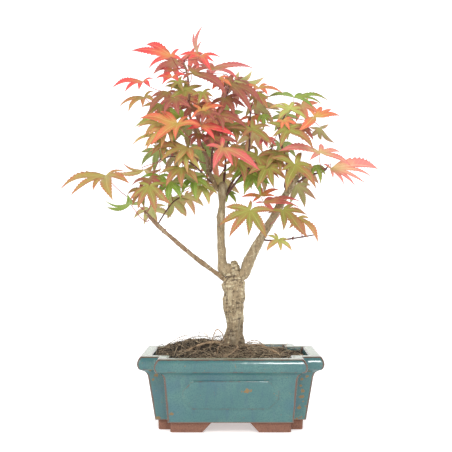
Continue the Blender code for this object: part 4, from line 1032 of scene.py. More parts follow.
RELIEF = 1.3 * MM
wall_rows = (height > FOOT + 3 * MM) & (height < lip_low - 8 * MM) & (inset > 10 * MM) & (inset < 19 * MM)
wall_rows &= np.arange(len(height)) < np.argmax(height > POT_TOP - 0.1 * MM)
for axis in (0, 1):
    other = 1 - axis
    limit = (POT_HALF[other] - inset)[:, None]
    flat = wall_rows[:, None] & (np.abs(pot_points[..., other]) > limit - 0.05 * MM)
    rise = RELIEF * step_between(-panel_of(pot_points, axis), -0.2 * MM, 1.6 * MM)
    groove = 0.5 * MM * np.exp(-((panel_of(pot_points, axis) - 0.9 * MM) / (0.9 * MM)) ** 2)
    pot_points[..., other] += np.where(flat, (rise - groove) * np.sign(pot_points[..., other]), 0.0)
poles = np.zeros((1, pot_points.shape[1], 3))
closed = np.concatenate([poles + (0, 0, FOOT), pot_points, poles + (0, 0, floor_top)])
faces = grid_faces(len(closed), closed.shape[1], True)
points, faces, _ = welded(closed.reshape(-1, 3), faces, {})
pot_body = object_from("pot_body", points + POT_PLACE, faces, [])
CUT_REACH = 200 * MM  # past both ends of the pot


def bar(name, ends, flip=False):
    """A closed bar between two equal polygons: the points of the one, then those of the other."""
    n = len(ends) // 2
    i = np.arange(n)
    j = (i + 1) % n
    sides = np.concatenate([np.stack([i, j, j + n], -1), np.stack([i, j + n, i + n], -1)])
    caps = np.stack([np.zeros(n - 2, int), i[2:], i[1:-1]], -1)
    faces = np.concatenate([sides, caps, caps[:, ::-1] + n])
    return object_from(name, ends + POT_PLACE, faces[:, ::-1] if flip else faces, [])


def prism(name, rows, along):
    """A bar with the outline of a polygon of (across, height), run through the whole pot along X or Y."""
    polygon = np.array(rows)
    ends = []
    for far in (-CUT_REACH, CUT_REACH):
        if along == "Y":
            ends.append(np.column_stack([polygon[:, 0], np.full(len(polygon), far), polygon[:, 1]]))
        else:
            ends.append(np.column_stack([np.full(len(polygon), far), polygon[:, 0], polygon[:, 1]]))
    return bar(name, np.concatenate(ends), along == "Y")


DRAIN_SIDES, DRAIN_AT, DRAIN_RADIUS = 40, 38 * MM, 7 * MM
cutters = []
for name, along, gap in (("arch_front", "Y", 20.5 * MM), ("arch_side", "X", 20.5 * 0.705 * MM)):
    low, top = -FOOT, FOOT - 0.5 * MM
    wide = gap + 20 * MM
    cutters.append(prism(name, [(-wide, low), (wide, low), (gap, top), (gap - 1 * MM, top + 0.4 * MM),
                                (-gap + 1 * MM, top + 0.4 * MM), (-gap, top)], along))
turn = np.arange(DRAIN_SIDES) * math.tau / DRAIN_SIDES
for way in (-1, 1):
    circle = np.column_stack([way * DRAIN_AT + DRAIN_RADIUS * np.cos(turn), DRAIN_RADIUS * np.sin(turn)])
    levels = (2 * MM, 30 * MM)  # under the floor and above it
    ends = np.concatenate([np.column_stack([circle, np.full(DRAIN_SIDES, z)]) for z in levels])
    cutters.append(bar(f"drain_{way + 1}", ends))
for cutter in cutters:
    boolean = pot_body.modifiers.new(cutter.name, "BOOLEAN")
    boolean.object = cutter
    boolean.solver = "EXACT"
graph = bpy.context.evaluated_depsgraph_get()
pot_mesh = bpy.data.meshes.new_from_object(pot_body.evaluated_get(graph))
pot_body.modifiers.clear()
pot_body.data = pot_mesh
for cutter in cutters:
    bpy.data.objects.remove(cutter)
print("pot points and faces:", len(pot_mesh.vertices), len(pot_mesh.polygons))

# %% [markdown]
# Glaze is glass that melted and ran. On edges it runs thin and the iron in the clay shows brown; in hollows
# it pools deeper. The values below say where that is: near the stepped corners, the lip's edges and the
# panel's outline. The feet are bare terracotta, because a pot can't be glazed where it stands in the kiln.

# %% Where the glaze is thin
co = np.empty(len(pot_mesh.vertices) * 3)
pot_mesh.vertices.foreach_get("co", co)
local = co.reshape(-1, 3) - POT_PLACE
z = local[:, 2]
in_x = POT_HALF[0] - np.abs(local[:, 0])
in_y = POT_HALF[1] - np.abs(local[:, 1])
notch_here = notch_at(z)
inset_here = np.minimum(np.minimum(in_x, in_y), np.maximum(in_x, in_y) - notch_here)
low_in = np.minimum(in_x, in_y)
corner_far = np.hypot(low_in - inset_here, np.maximum(in_x, in_y) - notch_here - inset_here)
thin = np.exp(-(corner_far / (2.4 * MM)) ** 2)
outer = (inset_here < 20 * MM) & (z > FOOT)
edge_top = np.hypot(inset_here - 3.2 * MM, z - POT_TOP + 0.5 * MM)
edge_in = np.hypot(inset_here - 14.3 * MM, z - POT_TOP + 0.7 * MM)
edge_low = np.hypot(inset_here - 2.0 * MM, z - lip_low - 0.6 * MM)
thin = np.maximum(thin * 0.9, np.exp(-(edge_top / (1.1 * MM)) ** 2))
thin = np.maximum(thin, 0.6 * np.exp(-(edge_in / (1.3 * MM)) ** 2))
thin = np.maximum(thin, 0.5 * np.exp(-(edge_low / (1.4 * MM)) ** 2))
is_wall = (z < lip_low - 5 * MM) & (inset_here < 20 * MM)
on_front = is_wall & (in_y < in_x)
on_side = is_wall & (in_x <= in_y)
for mask, axis in ((on_front, 0), (on_side, 1)):
    near_edge = np.exp(-((panel_of(local, axis) + 0.5 * MM) / (0.9 * MM)) ** 2)
    thin = np.maximum(thin, np.where(mask, 0.42 * near_edge, 0.0))
thin = thin * outer
clay = step_between(FOOT + 0.5 * MM + 0.35 * MM * ripple(local, 14 * MM, 77) - z, -0.25 * MM, 0.25 * MM)
clay = np.maximum(clay, step_between(inset_here, 19.5 * MM, 20.5 * MM) * (z < floor_top + 4 * MM))
top_face = step_between(z, POT_TOP - 0.9 * MM, POT_TOP - 0.1 * MM)
set_values(pot_mesh, {"thin": thin, "clay": clay, "top": top_face})
pot_mesh.polygons.foreach_set("use_smooth", np.ones(len(pot_mesh.polygons), bool))
pot_mesh.set_sharp_from_angle(angle=math.radians(50))
RUST_SPOTS = (  # across from the pot's middle, height and radius of iron spots on the front, in mm
    (18, 46, 2.6), (14.5, 45, 1.8), (21.5, 46.5, 1.6), (-62, 21, 2.2), (-64.5, 20, 1.5), (76, 55, 1.8),
    (75, 48, 1.4), (77.5, 43, 2.2), (76.5, 36, 2.4), (78, 31.5, 1.6), (73.5, 24, 2.0), (82, 58, 1.5),
    (-80, 60, 2.4), (-83, 55, 1.6), (-78, 13, 2.6), (-75, 30, 1.4), (72, 12.5, 2.4), (80, 26, 1.3),
    (-86, 66, 1.5), (84, 64, 1.6))
POOLS = (  # the same for pools of deeper, bluer glaze
    (-62, 24, 13), (-64, 50, 9), (-16, 57, 12), (66, 30, 9), (-79, 40, 9))
for key, spots in (("rust", RUST_SPOTS), ("pool", POOLS)):
    value = np.zeros(len(local))
    for across, up, size in spots:
        far = np.hypot((local[:, 0] - across * MM) / 1.25, z - up * MM) / (size * MM)
        value = np.maximum(value, np.exp(-far ** 2) * (local[:, 1] < 0))
    set_values(pot_mesh, {key: value})
print("points where the glaze is thin:", int((thin > 0.5).sum()))

# %% [markdown]
# One material covers the fired pot, because glaze and clay are one surface: the value clay blends from
# glass, smooth and shiny, to bare terracotta, dull and gritty.

# %% Glaze and clay
def glaze_material():
    """Turquoise stoneware glaze in layers: streaks that ran downwards (about 4 mm wide and 25 mm long),
    clouds, a cream rim, brown where it is thin, rust spots of iron, and bare clay below."""
    material, tree, shader, place = start_material("turquoise_stoneware_glaze")
    run = add(tree, MAPPING, {}, {"Vector": place, "Scale": (1.0, 1.0, 0.16)})
    streak = add(tree, NOISE, {}, {"Vector": run, "Scale": 170.0, "Detail": 4.0, "Roughness": 0.6})
    cloud = add(tree, NOISE, {}, {"Vector": place, "Scale": 28.0, "Detail": 3.0})
    mottle = add(tree, NOISE, {}, {"Vector": place, "Scale": 820.0, "Detail": 4.0})
    iron = add(tree, NOISE, {}, {"Vector": place, "Scale": 320.0, "Detail": 4.0})
    thin, clay, top, rust, pool = (add(tree, VALUE, {"attribute_name": key}, {}, "Fac")
                                   for key in ("thin", "clay", "top", "rust", "pool"))
    deep = add(tree, RANGE, SMOOTH, {0: streak, 1: 0.50, 2: 0.76, 4: 0.7})
    colour = add(tree, MIX, COLOUR, {0: deep, 6: linear("406A6A"), 7: linear("38586A")}, 2)
    milky = add(tree, RANGE, SMOOTH, {0: cloud, 1: 0.46, 2: 0.66, 4: 0.45})
    colour = add(tree, MIX, COLOUR, {0: milky, 6: colour, 7: linear("547C74")}, 2)
    pooled = add(tree, MATH, TIMES_ADD, {0: streak, 1: 0.9, 2: pool})
    pooled = add(tree, RANGE, SMOOTH, {0: pooled, 1: 0.50, 2: 1.40, 4: 0.45})
    colour = add(tree, MIX, COLOUR, {0: pooled, 6: colour, 7: linear("365E70")}, 2)
    flecked = add(tree, RANGE, SMOOTH, {0: mottle, 1: 0.44, 2: 0.64, 4: 0.60})
    colour = add(tree, MIX, COLOUR, {0: flecked, 6: colour, 7: linear("345A60")}, 2)
    # the rim's top, where the glaze ran off and dried cream
    uneven = add(tree, RANGE, SMOOTH, {0: mottle, 1: 0.22, 2: 0.55, 3: 0.5})
    creamy = add(tree, MATH, TIMES, {0: top, 1: uneven})
    colour = add(tree, MIX, COLOUR, {0: creamy, 6: colour, 7: linear("8C9884")}, 2)
    # thin glaze shows brown, more where a streak has left it
    worn = add(tree, MATH, TIMES_ADD, {0: streak, 1: 0.9, 2: thin})
    brown = add(tree, RANGE, SMOOTH, {0: worn, 1: 0.65, 2: 1.15, 4: 0.92})
    colour = add(tree, MIX, COLOUR, {0: brown, 6: colour, 7: linear("5E4234")}, 2)
    # iron spots with ragged edges, and a few small ones anywhere
    ragged = add(tree, MATH, TIMES_ADD, {0: iron, 1: 2.6, 2: rust})
    spots = add(tree, RANGE, SMOOTH, {0: ragged, 1: 1.72, 2: 2.05, 4: 0.85})
    colour = add(tree, MIX, COLOUR, {0: spots, 6: colour, 7: linear("80602F")}, 2)
    # bare clay
    grit = add(tree, NOISE, {}, {"Vector": place, "Scale": 900.0, "Detail": 5.0})
    darker = add(tree, RANGE, SMOOTH, {0: grit, 1: 0.42, 2: 0.70})
    bare = add(tree, MIX, COLOUR, {0: darker, 6: linear("7E5644"), 7: linear("644036")}, 2)
    dusty = add(tree, RANGE, SMOOTH, {0: mottle, 1: 0.55, 2: 0.70, 4: 0.4})
    bare = add(tree, MIX, COLOUR, {0: dusty, 6: bare, 7: linear("92705C")}, 2)
    colour = add(tree, MIX, COLOUR, {0: clay, 6: colour, 7: bare}, 2)
    rough = add(tree, MIX, {"data_type": "FLOAT"}, {0: clay, 2: 0.13, 3: 0.85})
    wave = add(tree, NOISE, {}, {"Vector": place, "Scale": 120.0, "Detail": 1.0})
    height = add(tree, MIX, {"data_type": "FLOAT"}, {0: clay, 2: wave, 3: grit})
    bump = add(tree, BUMP, {}, {"Strength": 0.25, "Distance": 0.5 * MM, "Height": height})
    tree.links.new(colour, shader.inputs["Base Color"])
    tree.links.new(rough, shader.inputs["Roughness"])
    tree.links.new(bump, shader.inputs["Normal"])
    shine = add(tree, MIX, {"data_type": "FLOAT"}, {0: top, 2: 0.5, 3: 0.12})
    tree.links.new(shine, shader.inputs["Specular IOR Level"])
    shader.inputs["IOR"].default_value = 1.55
    return material


pot_mesh.materials.clear()
pot_mesh.materials.append(glaze_material())
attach(pot_body, "root")
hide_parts("pot")
print("nodes in the glaze:", len(pot_mesh.materials[0].node_tree.nodes))

# %% [markdown]
# ## Soil and roots
# The soil is a mound of bark fibre that swells round the trunk. Its surface is a round grid: rings from the
# middle to the pot's inner wall, which is found by rays, each point lifted to the mound's height and
# roughened at three sizes. Over it lie crumbs, moss fibres and thin roots. The trunk's own surface roots
# arch over it like small cables.

# %% Soil surface
LUMPS_OF_SOIL = (  # x, y from the pot's middle, height and spread, in mm
    (2, 8, 10, 30), (-44, 14, 13, 32), (62, 4, -3, 34), (-68, -18, 3, 16), (30, -26, 3, 14))


def soil_level(x, y):
    """Height of the mound: 4 mm below the rim, plus bell-shaped swellings."""
    level = np.full_like(x, POT_TOP - 4 * MM)
    for cx, cy, high, spread in LUMPS_OF_SOIL:
        far = (x - pot_middle[0] - cx * MM) ** 2 + (y - pot_middle[1] - cy * MM) ** 2
        level = level + high * MM * np.exp(-far / (spread * MM) ** 2)
    return level


def tree_of(name):
    """Search tree of a solid."""
    points, faces = mesh_arrays(name)
    return BVHTree.FromPolygons([Vector(p) for p in points], [tuple(map(int, f)) for f in faces])


pot_tree = tree_of("pot")
RINGS, SPOKES = 96, 420
turns = np.arange(SPOKES) * math.tau / SPOKES
origin = Vector((pot_middle[0], pot_middle[1], POT_TOP - 6 * MM))
wall_far = np.array([pot_tree.ray_cast(origin, Vector((math.cos(a), math.sin(a), 0.0)))[3] for a in turns])
share = (np.arange(RINGS) / (RINGS - 1))[:, None] ** 0.8
x = pot_middle[0] + share * (wall_far - 0.4 * MM) * np.cos(turns)
y = pot_middle[1] + share * (wall_far - 0.4 * MM) * np.sin(turns)
level = soil_level(x, y)
flat = np.stack([x, y, np.zeros_like(level)], -1).reshape(-1, 3)
rough = 1.4 * ripple(flat, 16 * MM, 301) + 1.2 * ripple(flat, 6 * MM, 302) + 0.8 * ripple(flat, 2.4 * MM, 303)
level = level + rough.reshape(level.shape) * MM * np.minimum(1.0, (1 - share) * 12 + 0.3)
top = np.stack([x, y, level], -1)
skirt = [np.stack([x[-1], y[-1], np.full(SPOKES, z)], -1) for z in (66 * MM, 50 * MM)]
under = np.full(SPOKES, 24 * MM)
shrunk = np.stack([pot_middle[0] + (x[-1] - pot_middle[0]) * 0.86,
                   pot_middle[1] + (y[-1] - pot_middle[1]) * 0.86, under], -1)
bottom = np.stack([np.full(SPOKES, pot_middle[0]), np.full(SPOKES, pot_middle[1]), under], -1)
rows = np.concatenate([top, [*skirt, shrunk, bottom]])
points, faces, _ = welded(rows.reshape(-1, 3), grid_faces(len(rows), SPOKES, True)[:, ::-1], {})
print("soil triangles:", len(faces), "highest mm:", round(float(top[..., 2].max() / MM), 1))


def soil_material():
    """Peat and bark fibre: dark, matt, with tan fibres and grit; fibres run every way, 1 to 2 mm wide."""
    material, tree, shader, place = start_material("peat_and_bark_soil")
    clod = add(tree, NOISE, {}, {"Vector": place, "Scale": 160.0, "Detail": 5.0})
    grain = add(tree, NOISE, {}, {"Vector": place, "Scale": 700.0, "Detail": 6.0, "Roughness": 0.7})
    thread = add(tree, MAPPING, {}, {"Vector": place, "Scale": (1.0, 0.25, 1.0)})
    strand = add(tree, NOISE, {}, {"Vector": thread, "Scale": 800.0, "Detail": 3.0, "Distortion": 1.5})
    lighter = add(tree, RANGE, SMOOTH, {0: clod, 1: 0.40, 2: 0.66})
    colour = add(tree, MIX, COLOUR, {0: lighter, 6: linear("241F18"), 7: linear("4A4134")}, 2)
    pits = add(tree, RANGE, SMOOTH, {0: grain, 1: 0.52, 2: 0.40})
    colour = add(tree, MIX, COLOUR, {0: pits, 6: colour, 7: linear("1E1510")}, 2)
    fibre = add(tree, RANGE, SMOOTH, {0: strand, 1: 0.60, 2: 0.68, 4: 0.65})
    colour = add(tree, MIX, COLOUR, {0: fibre, 6: colour, 7: linear("94846A")}, 2)
    bump = add(tree, BUMP, {}, {"Strength": 0.9, "Distance": 1.0 * MM, "Height": grain})
    tree.links.new(colour, shader.inputs["Base Color"])
    tree.links.new(bump, shader.inputs["Normal"])
    shader.inputs["Roughness"].default_value = 0.95
    return material


soil_look = soil_material()
soil_piece = object_from("soil_mound", points, faces, [soil_look])
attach(soil_piece, "root")
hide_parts("soil")

# %% [markdown]
# What lies on the soil is scattered by one rule, so that nothing hangs out over the rim.

# %% Places on the soil
def places_on_soil(count, rng, inner=0.0):
    """Random places over the mound: a random spoke and a share of the way to the wall."""
    spoke = rng.integers(0, SPOKES, count)
    far = np.sqrt(rng.uniform(inner, 0.93, count)) * wall_far[spoke]
    return pot_middle[0] + far * np.cos(turns[spoke]), pot_middle[1] + far * np.sin(turns[spoke])


def wood_fibre_material(name):
    """Dry root fibre or bark chip: pale straw to red brown by the piece's tone, matt."""
    material, tree, shader, place = start_material(name)
    tone = add(tree, VALUE, {"attribute_name": "tone"}, {}, "Fac")
    grain = add(tree, NOISE, {}, {"Vector": place, "Scale": 900.0, "Detail": 3.0})
    browner = add(tree, RANGE, SMOOTH, {0: tone, 1: 0.15, 2: 0.85})
    colour = add(tree, MIX, COLOUR, {0: browner, 6: linear("CEB898"), 7: linear("554838")}, 2)
    darker = add(tree, RANGE, SMOOTH, {0: grain, 1: 0.50, 2: 0.72, 4: 0.5})
    colour = add(tree, MIX, COLOUR, {0: darker, 6: colour, 7: linear("4E3626")}, 2)
    tree.links.new(colour, shader.inputs["Base Color"])
    shader.inputs["Roughness"].default_value = 0.85
    return material


print("spokes of the soil's grid:", SPOKES, "shortest mm:", round(float(wall_far.min() / MM), 1))

# %% [markdown]
# Crumbs are balls of twenty faces, squashed and turned at random: 0.4 to 2.6 mm, as in sieved potting mix.

# %% Crumbs
golden = (1 + math.sqrt(5)) / 2
ball = np.array([(-1, golden, 0), (1, golden, 0), (-1, -golden, 0), (1, -golden, 0), (0, -1, golden),
                 (0, 1, golden), (0, -1, -golden), (0, 1, -golden), (golden, 0, -1), (golden, 0, 1),
                 (-golden, 0, -1), (-golden, 0, 1)]) / math.hypot(1, golden)
ball_faces = np.array([(0, 11, 5), (0, 5, 1), (0, 1, 7), (0, 7, 10), (0, 10, 11), (1, 5, 9), (5, 11, 4),
                       (11, 10, 2), (10, 7, 6), (7, 1, 8), (3, 9, 4), (3, 4, 2), (3, 2, 6), (3, 6, 8),
                       (3, 8, 9), (4, 9, 5), (2, 4, 11), (6, 2, 10), (8, 6, 7), (9, 8, 1)])
CRUMBS = 1500
rng = np.random.default_rng(11)
cx, cy = places_on_soil(CRUMBS, rng)
size = rng.uniform(0.5, 1.0, (CRUMBS, 1, 3)) * rng.gamma(2.0, 0.55, (CRUMBS, 1, 1)).clip(0.4, 2.6) * MM
turned, _ = np.linalg.qr(rng.normal(size=(CRUMBS, 3, 3)))
shapes = ball[None] * size * rng.uniform(0.75, 1.2, (CRUMBS, 12, 1))
shapes = np.einsum("nij,nkj->nki", turned, shapes)
shapes = shapes + np.stack([cx, cy, soil_level(cx, cy) + 0.6 * MM], -1)[:, None]
faces = ball_faces[None] + 12 * np.arange(CRUMBS)[:, None, None]
flipped = np.linalg.det(turned) < 0
faces[flipped] = faces[flipped][:, :, ::-1]
crumb_look = wood_fibre_material("crumbs_of_bark_and_peat")
crumbs = object_from("soil_crumbs", shapes.reshape(-1, 3), faces.reshape(-1, 3), [soil_look, crumb_look],
                     {"tone": np.repeat(rng.uniform(0.3, 1, CRUMBS), 12)},
                     np.repeat((rng.uniform(size=CRUMBS) < 0.3).astype(int), 20))
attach(crumbs, "root")
print("crumb triangles:", faces.size // 3)

# %% [markdown]
# Fibres are thin arcs that start and end on the mound. Most lie low, and a few spring up 4 to 11 mm.

# %% Fine fibres
FIBRES, STEPS, AROUND = 1300, 8, 3
rng = np.random.default_rng(12)
fx, fy = places_on_soil(FIBRES, rng)
way = rng.uniform(0, math.tau, FIBRES)
length = rng.uniform(6, 26, FIBRES) * MM
springs = rng.uniform(size=FIBRES) < 0.07
length = np.where(springs, 1.9, 1.0) * length
arch = np.where(springs, rng.uniform(4, 11, FIBRES), rng.gamma(1.6, 0.9, FIBRES).clip(0.2, 5)) * MM
bend = rng.normal(0, 0.3, FIBRES) * length
radius = rng.uniform(0.08, 0.16, FIBRES) * np.where(springs, 1.7, 1.0) * MM
t = np.linspace(0, 1, STEPS)
ahead = np.stack([np.cos(way), np.sin(way)], -1)[:, None]
aside = np.stack([-np.sin(way), np.cos(way)], -1)[:, None]
flat = np.stack([fx, fy], -1)[:, None] + ahead * (length[:, None] * (t - 0.5))[..., None]
flat = flat + aside * (bend[:, None] * np.sin(math.pi * t))[..., None]
reach = np.hypot(flat[..., 0] - pot_middle[0], flat[..., 1] - pot_middle[1])
spoke = np.round(np.arctan2(flat[..., 1] - pot_middle[1], flat[..., 0] - pot_middle[0]) / math.tau * SPOKES)
room = wall_far[spoke.astype(int) % SPOKES] - 2 * MM
pull = np.minimum(1.0, room / np.maximum(reach, 1e-6))[..., None]
flat = pot_middle[:2] + (flat - pot_middle[:2]) * pull
high = soil_level(flat[..., 0], flat[..., 1]) + 0.6 * MM + arch[:, None] * np.sin(math.pi * t) ** 0.8
centre = np.concatenate([flat, high[..., None]], -1)
heading = unit(np.gradient(centre, axis=1))
side = unit(np.cross(heading, (0.0, 0.0, 1.0)))
up = np.cross(side, heading)
turn = np.arange(AROUND) * math.tau / AROUND
thin_end = np.where((t == 0) | (t == 1), 0.0, 1.0)
spread = (radius[:, None] * thin_end)[:, :, None, None]
around = side[:, :, None] * np.cos(turn)[:, None] + up[:, :, None] * np.sin(turn)[:, None]
rings = centre[:, :, None] + spread * around
faces = grid_faces(STEPS, AROUND, True)[:, ::-1]
faces = (faces[None] + STEPS * AROUND * np.arange(FIBRES)[:, None, None]).reshape(-1, 3)
tone = np.repeat(rng.uniform(0, 1, FIBRES), STEPS * AROUND)
points, faces, values = welded(rings.reshape(-1, 3), faces, {"tone": tone})
fibre_look = wood_fibre_material("dry_root_fibre")
fibres = object_from("root_fibres", points, faces, [fibre_look], values)
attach(fibres, "root")
print("crumbs and fibres:", CRUMBS, FIBRES)

# %% [markdown]
# The surface roots leave the trunk's foot, arch over the mound and dive into it. Three are solids; the
# others are given by the way they take, seen from above.

# %% Surface roots
FOOT_OF_TRUNK = lines["trunk"][0, :2]
MORE_ROOTS = (  # height of the arch, radius at the trunk, and the way over the mound in mm from the trunk
    (9, 0.9, ((9, -8), (14, -14), (22, -18), (31, -20), (38, -24))),
    (6, 0.7, ((2, -11), (-6, -18), (-15, -24), (-20, -34))),
    (8, 0.7, ((-8, -7), (-15, -12), (-24, -20), (-36, -22), (-44, -30))),
    (5, 1.1, ((1, -11), (3, -15), (4, -22), (2, -30))),
    (4, 0.6, ((-30, -20), (-42, -30), (-58, -34), (-70, -30))),
    (5, 0.6, ((30, -14), (44, -22), (56, -26), (68, -24))),
    (7, 0.6, ((12, -2), (22, 2), (36, -2), (50, 4), (60, 2))),
    (4, 0.8, ((-12, 4), (-26, 10), (-42, 6), (-60, 10))),
    (6, 0.6, ((4, 12), (8, 24), (16, 34), (28, 38))),
    (5, 0.7, ((-6, 12), (-14, 24), (-28, 30), (-40, 34))),
    (6, 0.5, ((-14, -24), (-2, -32), (10, -36), (24, -34))),
    (5, 0.5, ((-50, -10), (-58, -20), (-52, -32), (-38, -38))),
    (15, 1.7, ((-8, -8), (-14, -10), (-21, -13), (-27, -20))),
    (10, 1.5, ((8, -6), (18, -7), (30, -6), (42, -10))),
    (5, 1.9, ((1, -10), (2, -17), (4, -25), (2, -34))),
    (5, 1.6, ((-4, -9), (-9, -18), (-17, -26), (-19, -36))),
    (6, 1.6, ((6, -9), (12, -16), (14, -26), (22, -34))),
)
trunk_foot = np.array([*FOOT_OF_TRUNK, 88 * MM])
root_lines = {name: centre_line(name, 8, trunk_foot) for name in ("root_left", "root_right", "root_front")}
for k, (arch_high, thick, way) in enumerate(MORE_ROOTS):
    xy = FOOT_OF_TRUNK + smooth_line(way, 12) * MM
    share = np.linspace(0, 1, 12)
    radius = thick * 0.38 * MM * (1 - 0.45 * share)
    arch = 1.25 * arch_high * MM * np.sin(math.pi * share ** 1.2) - 1.5 * MM * (share > 0.95)
    high = soil_level(xy[:, 0], xy[:, 1]) + radius * 0.6 + arch
    root_lines[f"root_more_{k + 1:02d}"] = np.column_stack([xy, high, radius])
root_look = bark_material("weathered_root_bark", "C4AA8A", "BEA382", "B49878", "DECBAA", "6A5442", 0.85)
for k, (name, line) in enumerate(root_lines.items()):
    line = line.copy()
    if name in nodes:
        line[:, 3] *= 0.5
    fine = smooth_line(line, max(20, int(step_lengths(line).sum() / (0.8 * MM))))
    wander = ripple(fine[:, :3], 12 * MM, 500 + k)
    fine[:, 0] += wander * 0.5 * MM
    fine[:, 3] *= 1 + 0.2 * ripple(fine[:, :3], 5 * MM, 520 + k)
    high, grain = swell(fine, 12, (), 0.06 * MM, 0.0, 540 + k)
    points, faces = pipe(fine, 12, high)
    points, faces, values = welded(points, faces, {"age": np.full(len(points), 0.35), "rise": grain.ravel()})
    piece = object_from(name + "_bark", points, faces, [root_look], values)
    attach(piece, "root")
    if name in nodes:
        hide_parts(name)
print("roots:", len(root_lines))

# %% [markdown]
# Buds sit in pairs where leaves fell, pointed, red brown and 2 to 4 mm long. At arm's length they give the
# twigs their knotted look.

# %% Buds
BUDS_AT = {"right_limb": (0.34, 0.62, 0.86), "leader": (0.60, 0.93), "left_limb": (0.45, 0.72, 0.9),
           "upper_branch": (0.12, 0.3, 0.52, 0.75), "left_twig": (0.3, 0.6), "right_side_twig": (0.55, 0.99),
           "right_end_twig": (0.4, 0.75), "right_top_twig": (0.35, 0.65), "centre_twig": (0.3, 0.6)}
rng = np.random.default_rng(21)
bud_points, bud_faces, seen = [], [], 0
for name, shares in BUDS_AT.items():
    line = smooth_line(lines[name], 100)
    for share in shares:
        row = line[int(share * 99)]
        ahead = unit(line[min(int(share * 99) + 1, 99), :3] - line[int(share * 99) - 1, :3])
        aside = unit(np.cross(ahead, rng.normal(size=3)))
        for way in (aside, -aside):
            size = rng.uniform(2.0, 3.6) * MM
            t = np.linspace(0, 1, 9)
            middle = row[:3] + way * row[3] * 0.7 + (unit(way * 0.6 + ahead * 0.8) * size) * t[:, None]
            radius = size * 0.27 * np.sin(math.pi * np.clip(0.18 + 0.82 * t, 0, 1)) ** 0.8 + 0.05 * MM
            points, faces = pipe(np.column_stack([middle, radius]), 8)
            points, faces, _ = welded(points, faces, {})
            bud_points.append(points)
            bud_faces.append(faces + seen)
            seen += len(points)
bud_look = bark_material("waxy_bud_scales", "7E4A34", "7E4A34", "7A4030", "A8745A", "40241C", 0.45)
buds = object_from("maple_buds", np.concatenate(bud_points), np.concatenate(bud_faces), [bud_look],
                   {"age": np.zeros(seen), "rise": np.zeros(seen)})
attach(buds, "root")
print("buds:", len(bud_points))

# %% [markdown]
# ## Hidden parts
# Two plastic screens keep the soil in over the drain holes, and two bent wires hold them. Only a view from
# below shows them, so their solids stay, with a real finish.

# %% Screens and wires
def plain_material(name, colour, darker, rough, metal, size):
    """A moulded or drawn finish with faint unevenness of the given size in millimetres."""
    material, tree, shader, place = start_material(name)
    noise = add(tree, NOISE, {}, {"Vector": place, "Scale": 1000.0 / size, "Detail": 3.0})
    uneven = add(tree, RANGE, SMOOTH, {0: noise, 1: 0.40, 2: 0.65})
    blended = add(tree, MIX, COLOUR, {0: uneven, 6: linear(colour), 7: linear(darker)}, 2)
    bump = add(tree, BUMP, {}, {"Strength": 0.2, "Distance": 0.1 * MM, "Height": noise})
    tree.links.new(blended, shader.inputs["Base Color"])
    tree.links.new(bump, shader.inputs["Normal"])
    shader.inputs["Roughness"].default_value = rough
    shader.inputs["Metallic"].default_value = metal
    return material


screen_look = plain_material("moulded_polyethylene_screen", "2F4A38", "24392C", 0.5, 0.0, 2.0)
wire_look = plain_material("annealed_aluminium_wire", "8A7668", "6E5C50", 0.38, 1.0, 1.2)
for start, look in (("drain_screen", screen_look), ("screen_wire", wire_look)):
    hidden = [solid for name, solid in nodes.items() if name.startswith(start)]
    for solid in hidden:
        for material_slot in solid.material_slots:
            material_slot.material = look
    print(start, "solids:", len(hidden))

# %% [markdown]
# ## Stage and light
# A round sweep of white paper lies under the pot and rises behind it, so every side has a plain background.
# Light comes from a bright sky above the sweep and from large soft panels, one of them on the right for
# the highlight that runs along the pot's lip.

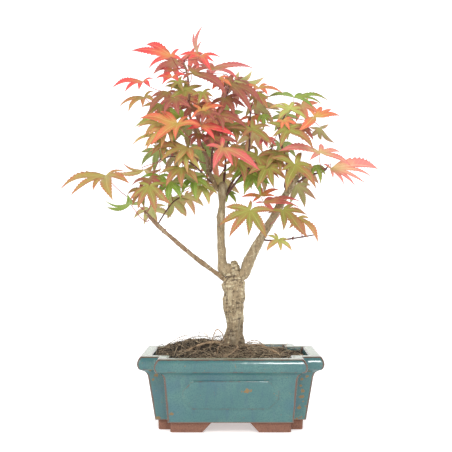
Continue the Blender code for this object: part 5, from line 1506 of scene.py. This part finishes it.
# %% Stage
profile = [(0.0, 0.0), (0.4, 0.0), (1.6, 0.0), (2.6, 0.0)]
profile += [(2.6 + 1.2 * math.sin(a), 1.2 - 1.2 * math.cos(a)) for a in np.linspace(0.15, math.pi / 2, 12)]
profile += [(3.8, 3.0)]
turn = np.arange(96) * math.tau / 96
rows = np.array([[(r * math.cos(a), r * math.sin(a), z) for a in turn] for r, z in profile])
points, faces, _ = welded(rows.reshape(-1, 3), grid_faces(len(rows), 96, True), {})
sweep = object_from("paper_sweep", points - (0, 0, 0.2 * MM), faces, [])
material, tree, shader, place = start_material("white_matt_paper")
tooth = add(tree, NOISE, {}, {"Vector": place, "Scale": 400.0, "Detail": 2.0})
white = add(tree, MIX, COLOUR, {0: tooth, 6: linear("FAFAFA"), 7: linear("F4F4F4")}, 2)
tree.links.new(white, shader.inputs["Base Color"])
shader.inputs["Roughness"].default_value = 0.9
shader.inputs["Specular IOR Level"].default_value = 0.2
shader.inputs["Emission Color"].default_value = (1.0, 1.0, 1.0, 1.0)
shader.inputs["Emission Strength"].default_value = 0.45
sweep.data.materials.append(material)
sweep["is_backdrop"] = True

world = bpy.data.worlds.new("soft_sky")
world.use_nodes = True
world.node_tree.nodes["Background"].inputs["Color"].default_value = (1.0, 1.0, 1.0, 1.0)
world.node_tree.nodes["Background"].inputs["Strength"].default_value = 0.5
bpy.context.scene.world = world


def soft_panel(name, place, target, size, power, warmth="FFFFFF"):
    """A square area light that faces its target."""
    data = bpy.data.lights.new(name, "AREA")
    data.size = size
    data.energy = power
    data.color = linear(warmth)[:3]
    light = bpy.data.objects.new(name, data)
    light.location = place
    light.rotation_euler = (Vector(target) - Vector(place)).to_track_quat("-Z", "Y").to_euler()
    bpy.context.scene.collection.objects.link(light)


soft_panel("key_panel", (-1.1, -1.6, 1.7), (0, 0, 0.2), 1.1, 13, "FFF8F0")
soft_panel("lip_panel", (0.22, -1.2, 0.95), (0.03, 0, 0.12), 0.25, 5)
soft_panel("back_panel", (0.3, 1.6, 1.8), (0, 0, 0.2), 1.2, 6)
bpy.context.scene.view_settings.view_transform = "Standard"
print("lights:", len(bpy.data.lights))

# %% [markdown]
# The dressed tree is measured as it is shown. Its leaves reach a little further than the solids did.

# %% Finish
low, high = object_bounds()
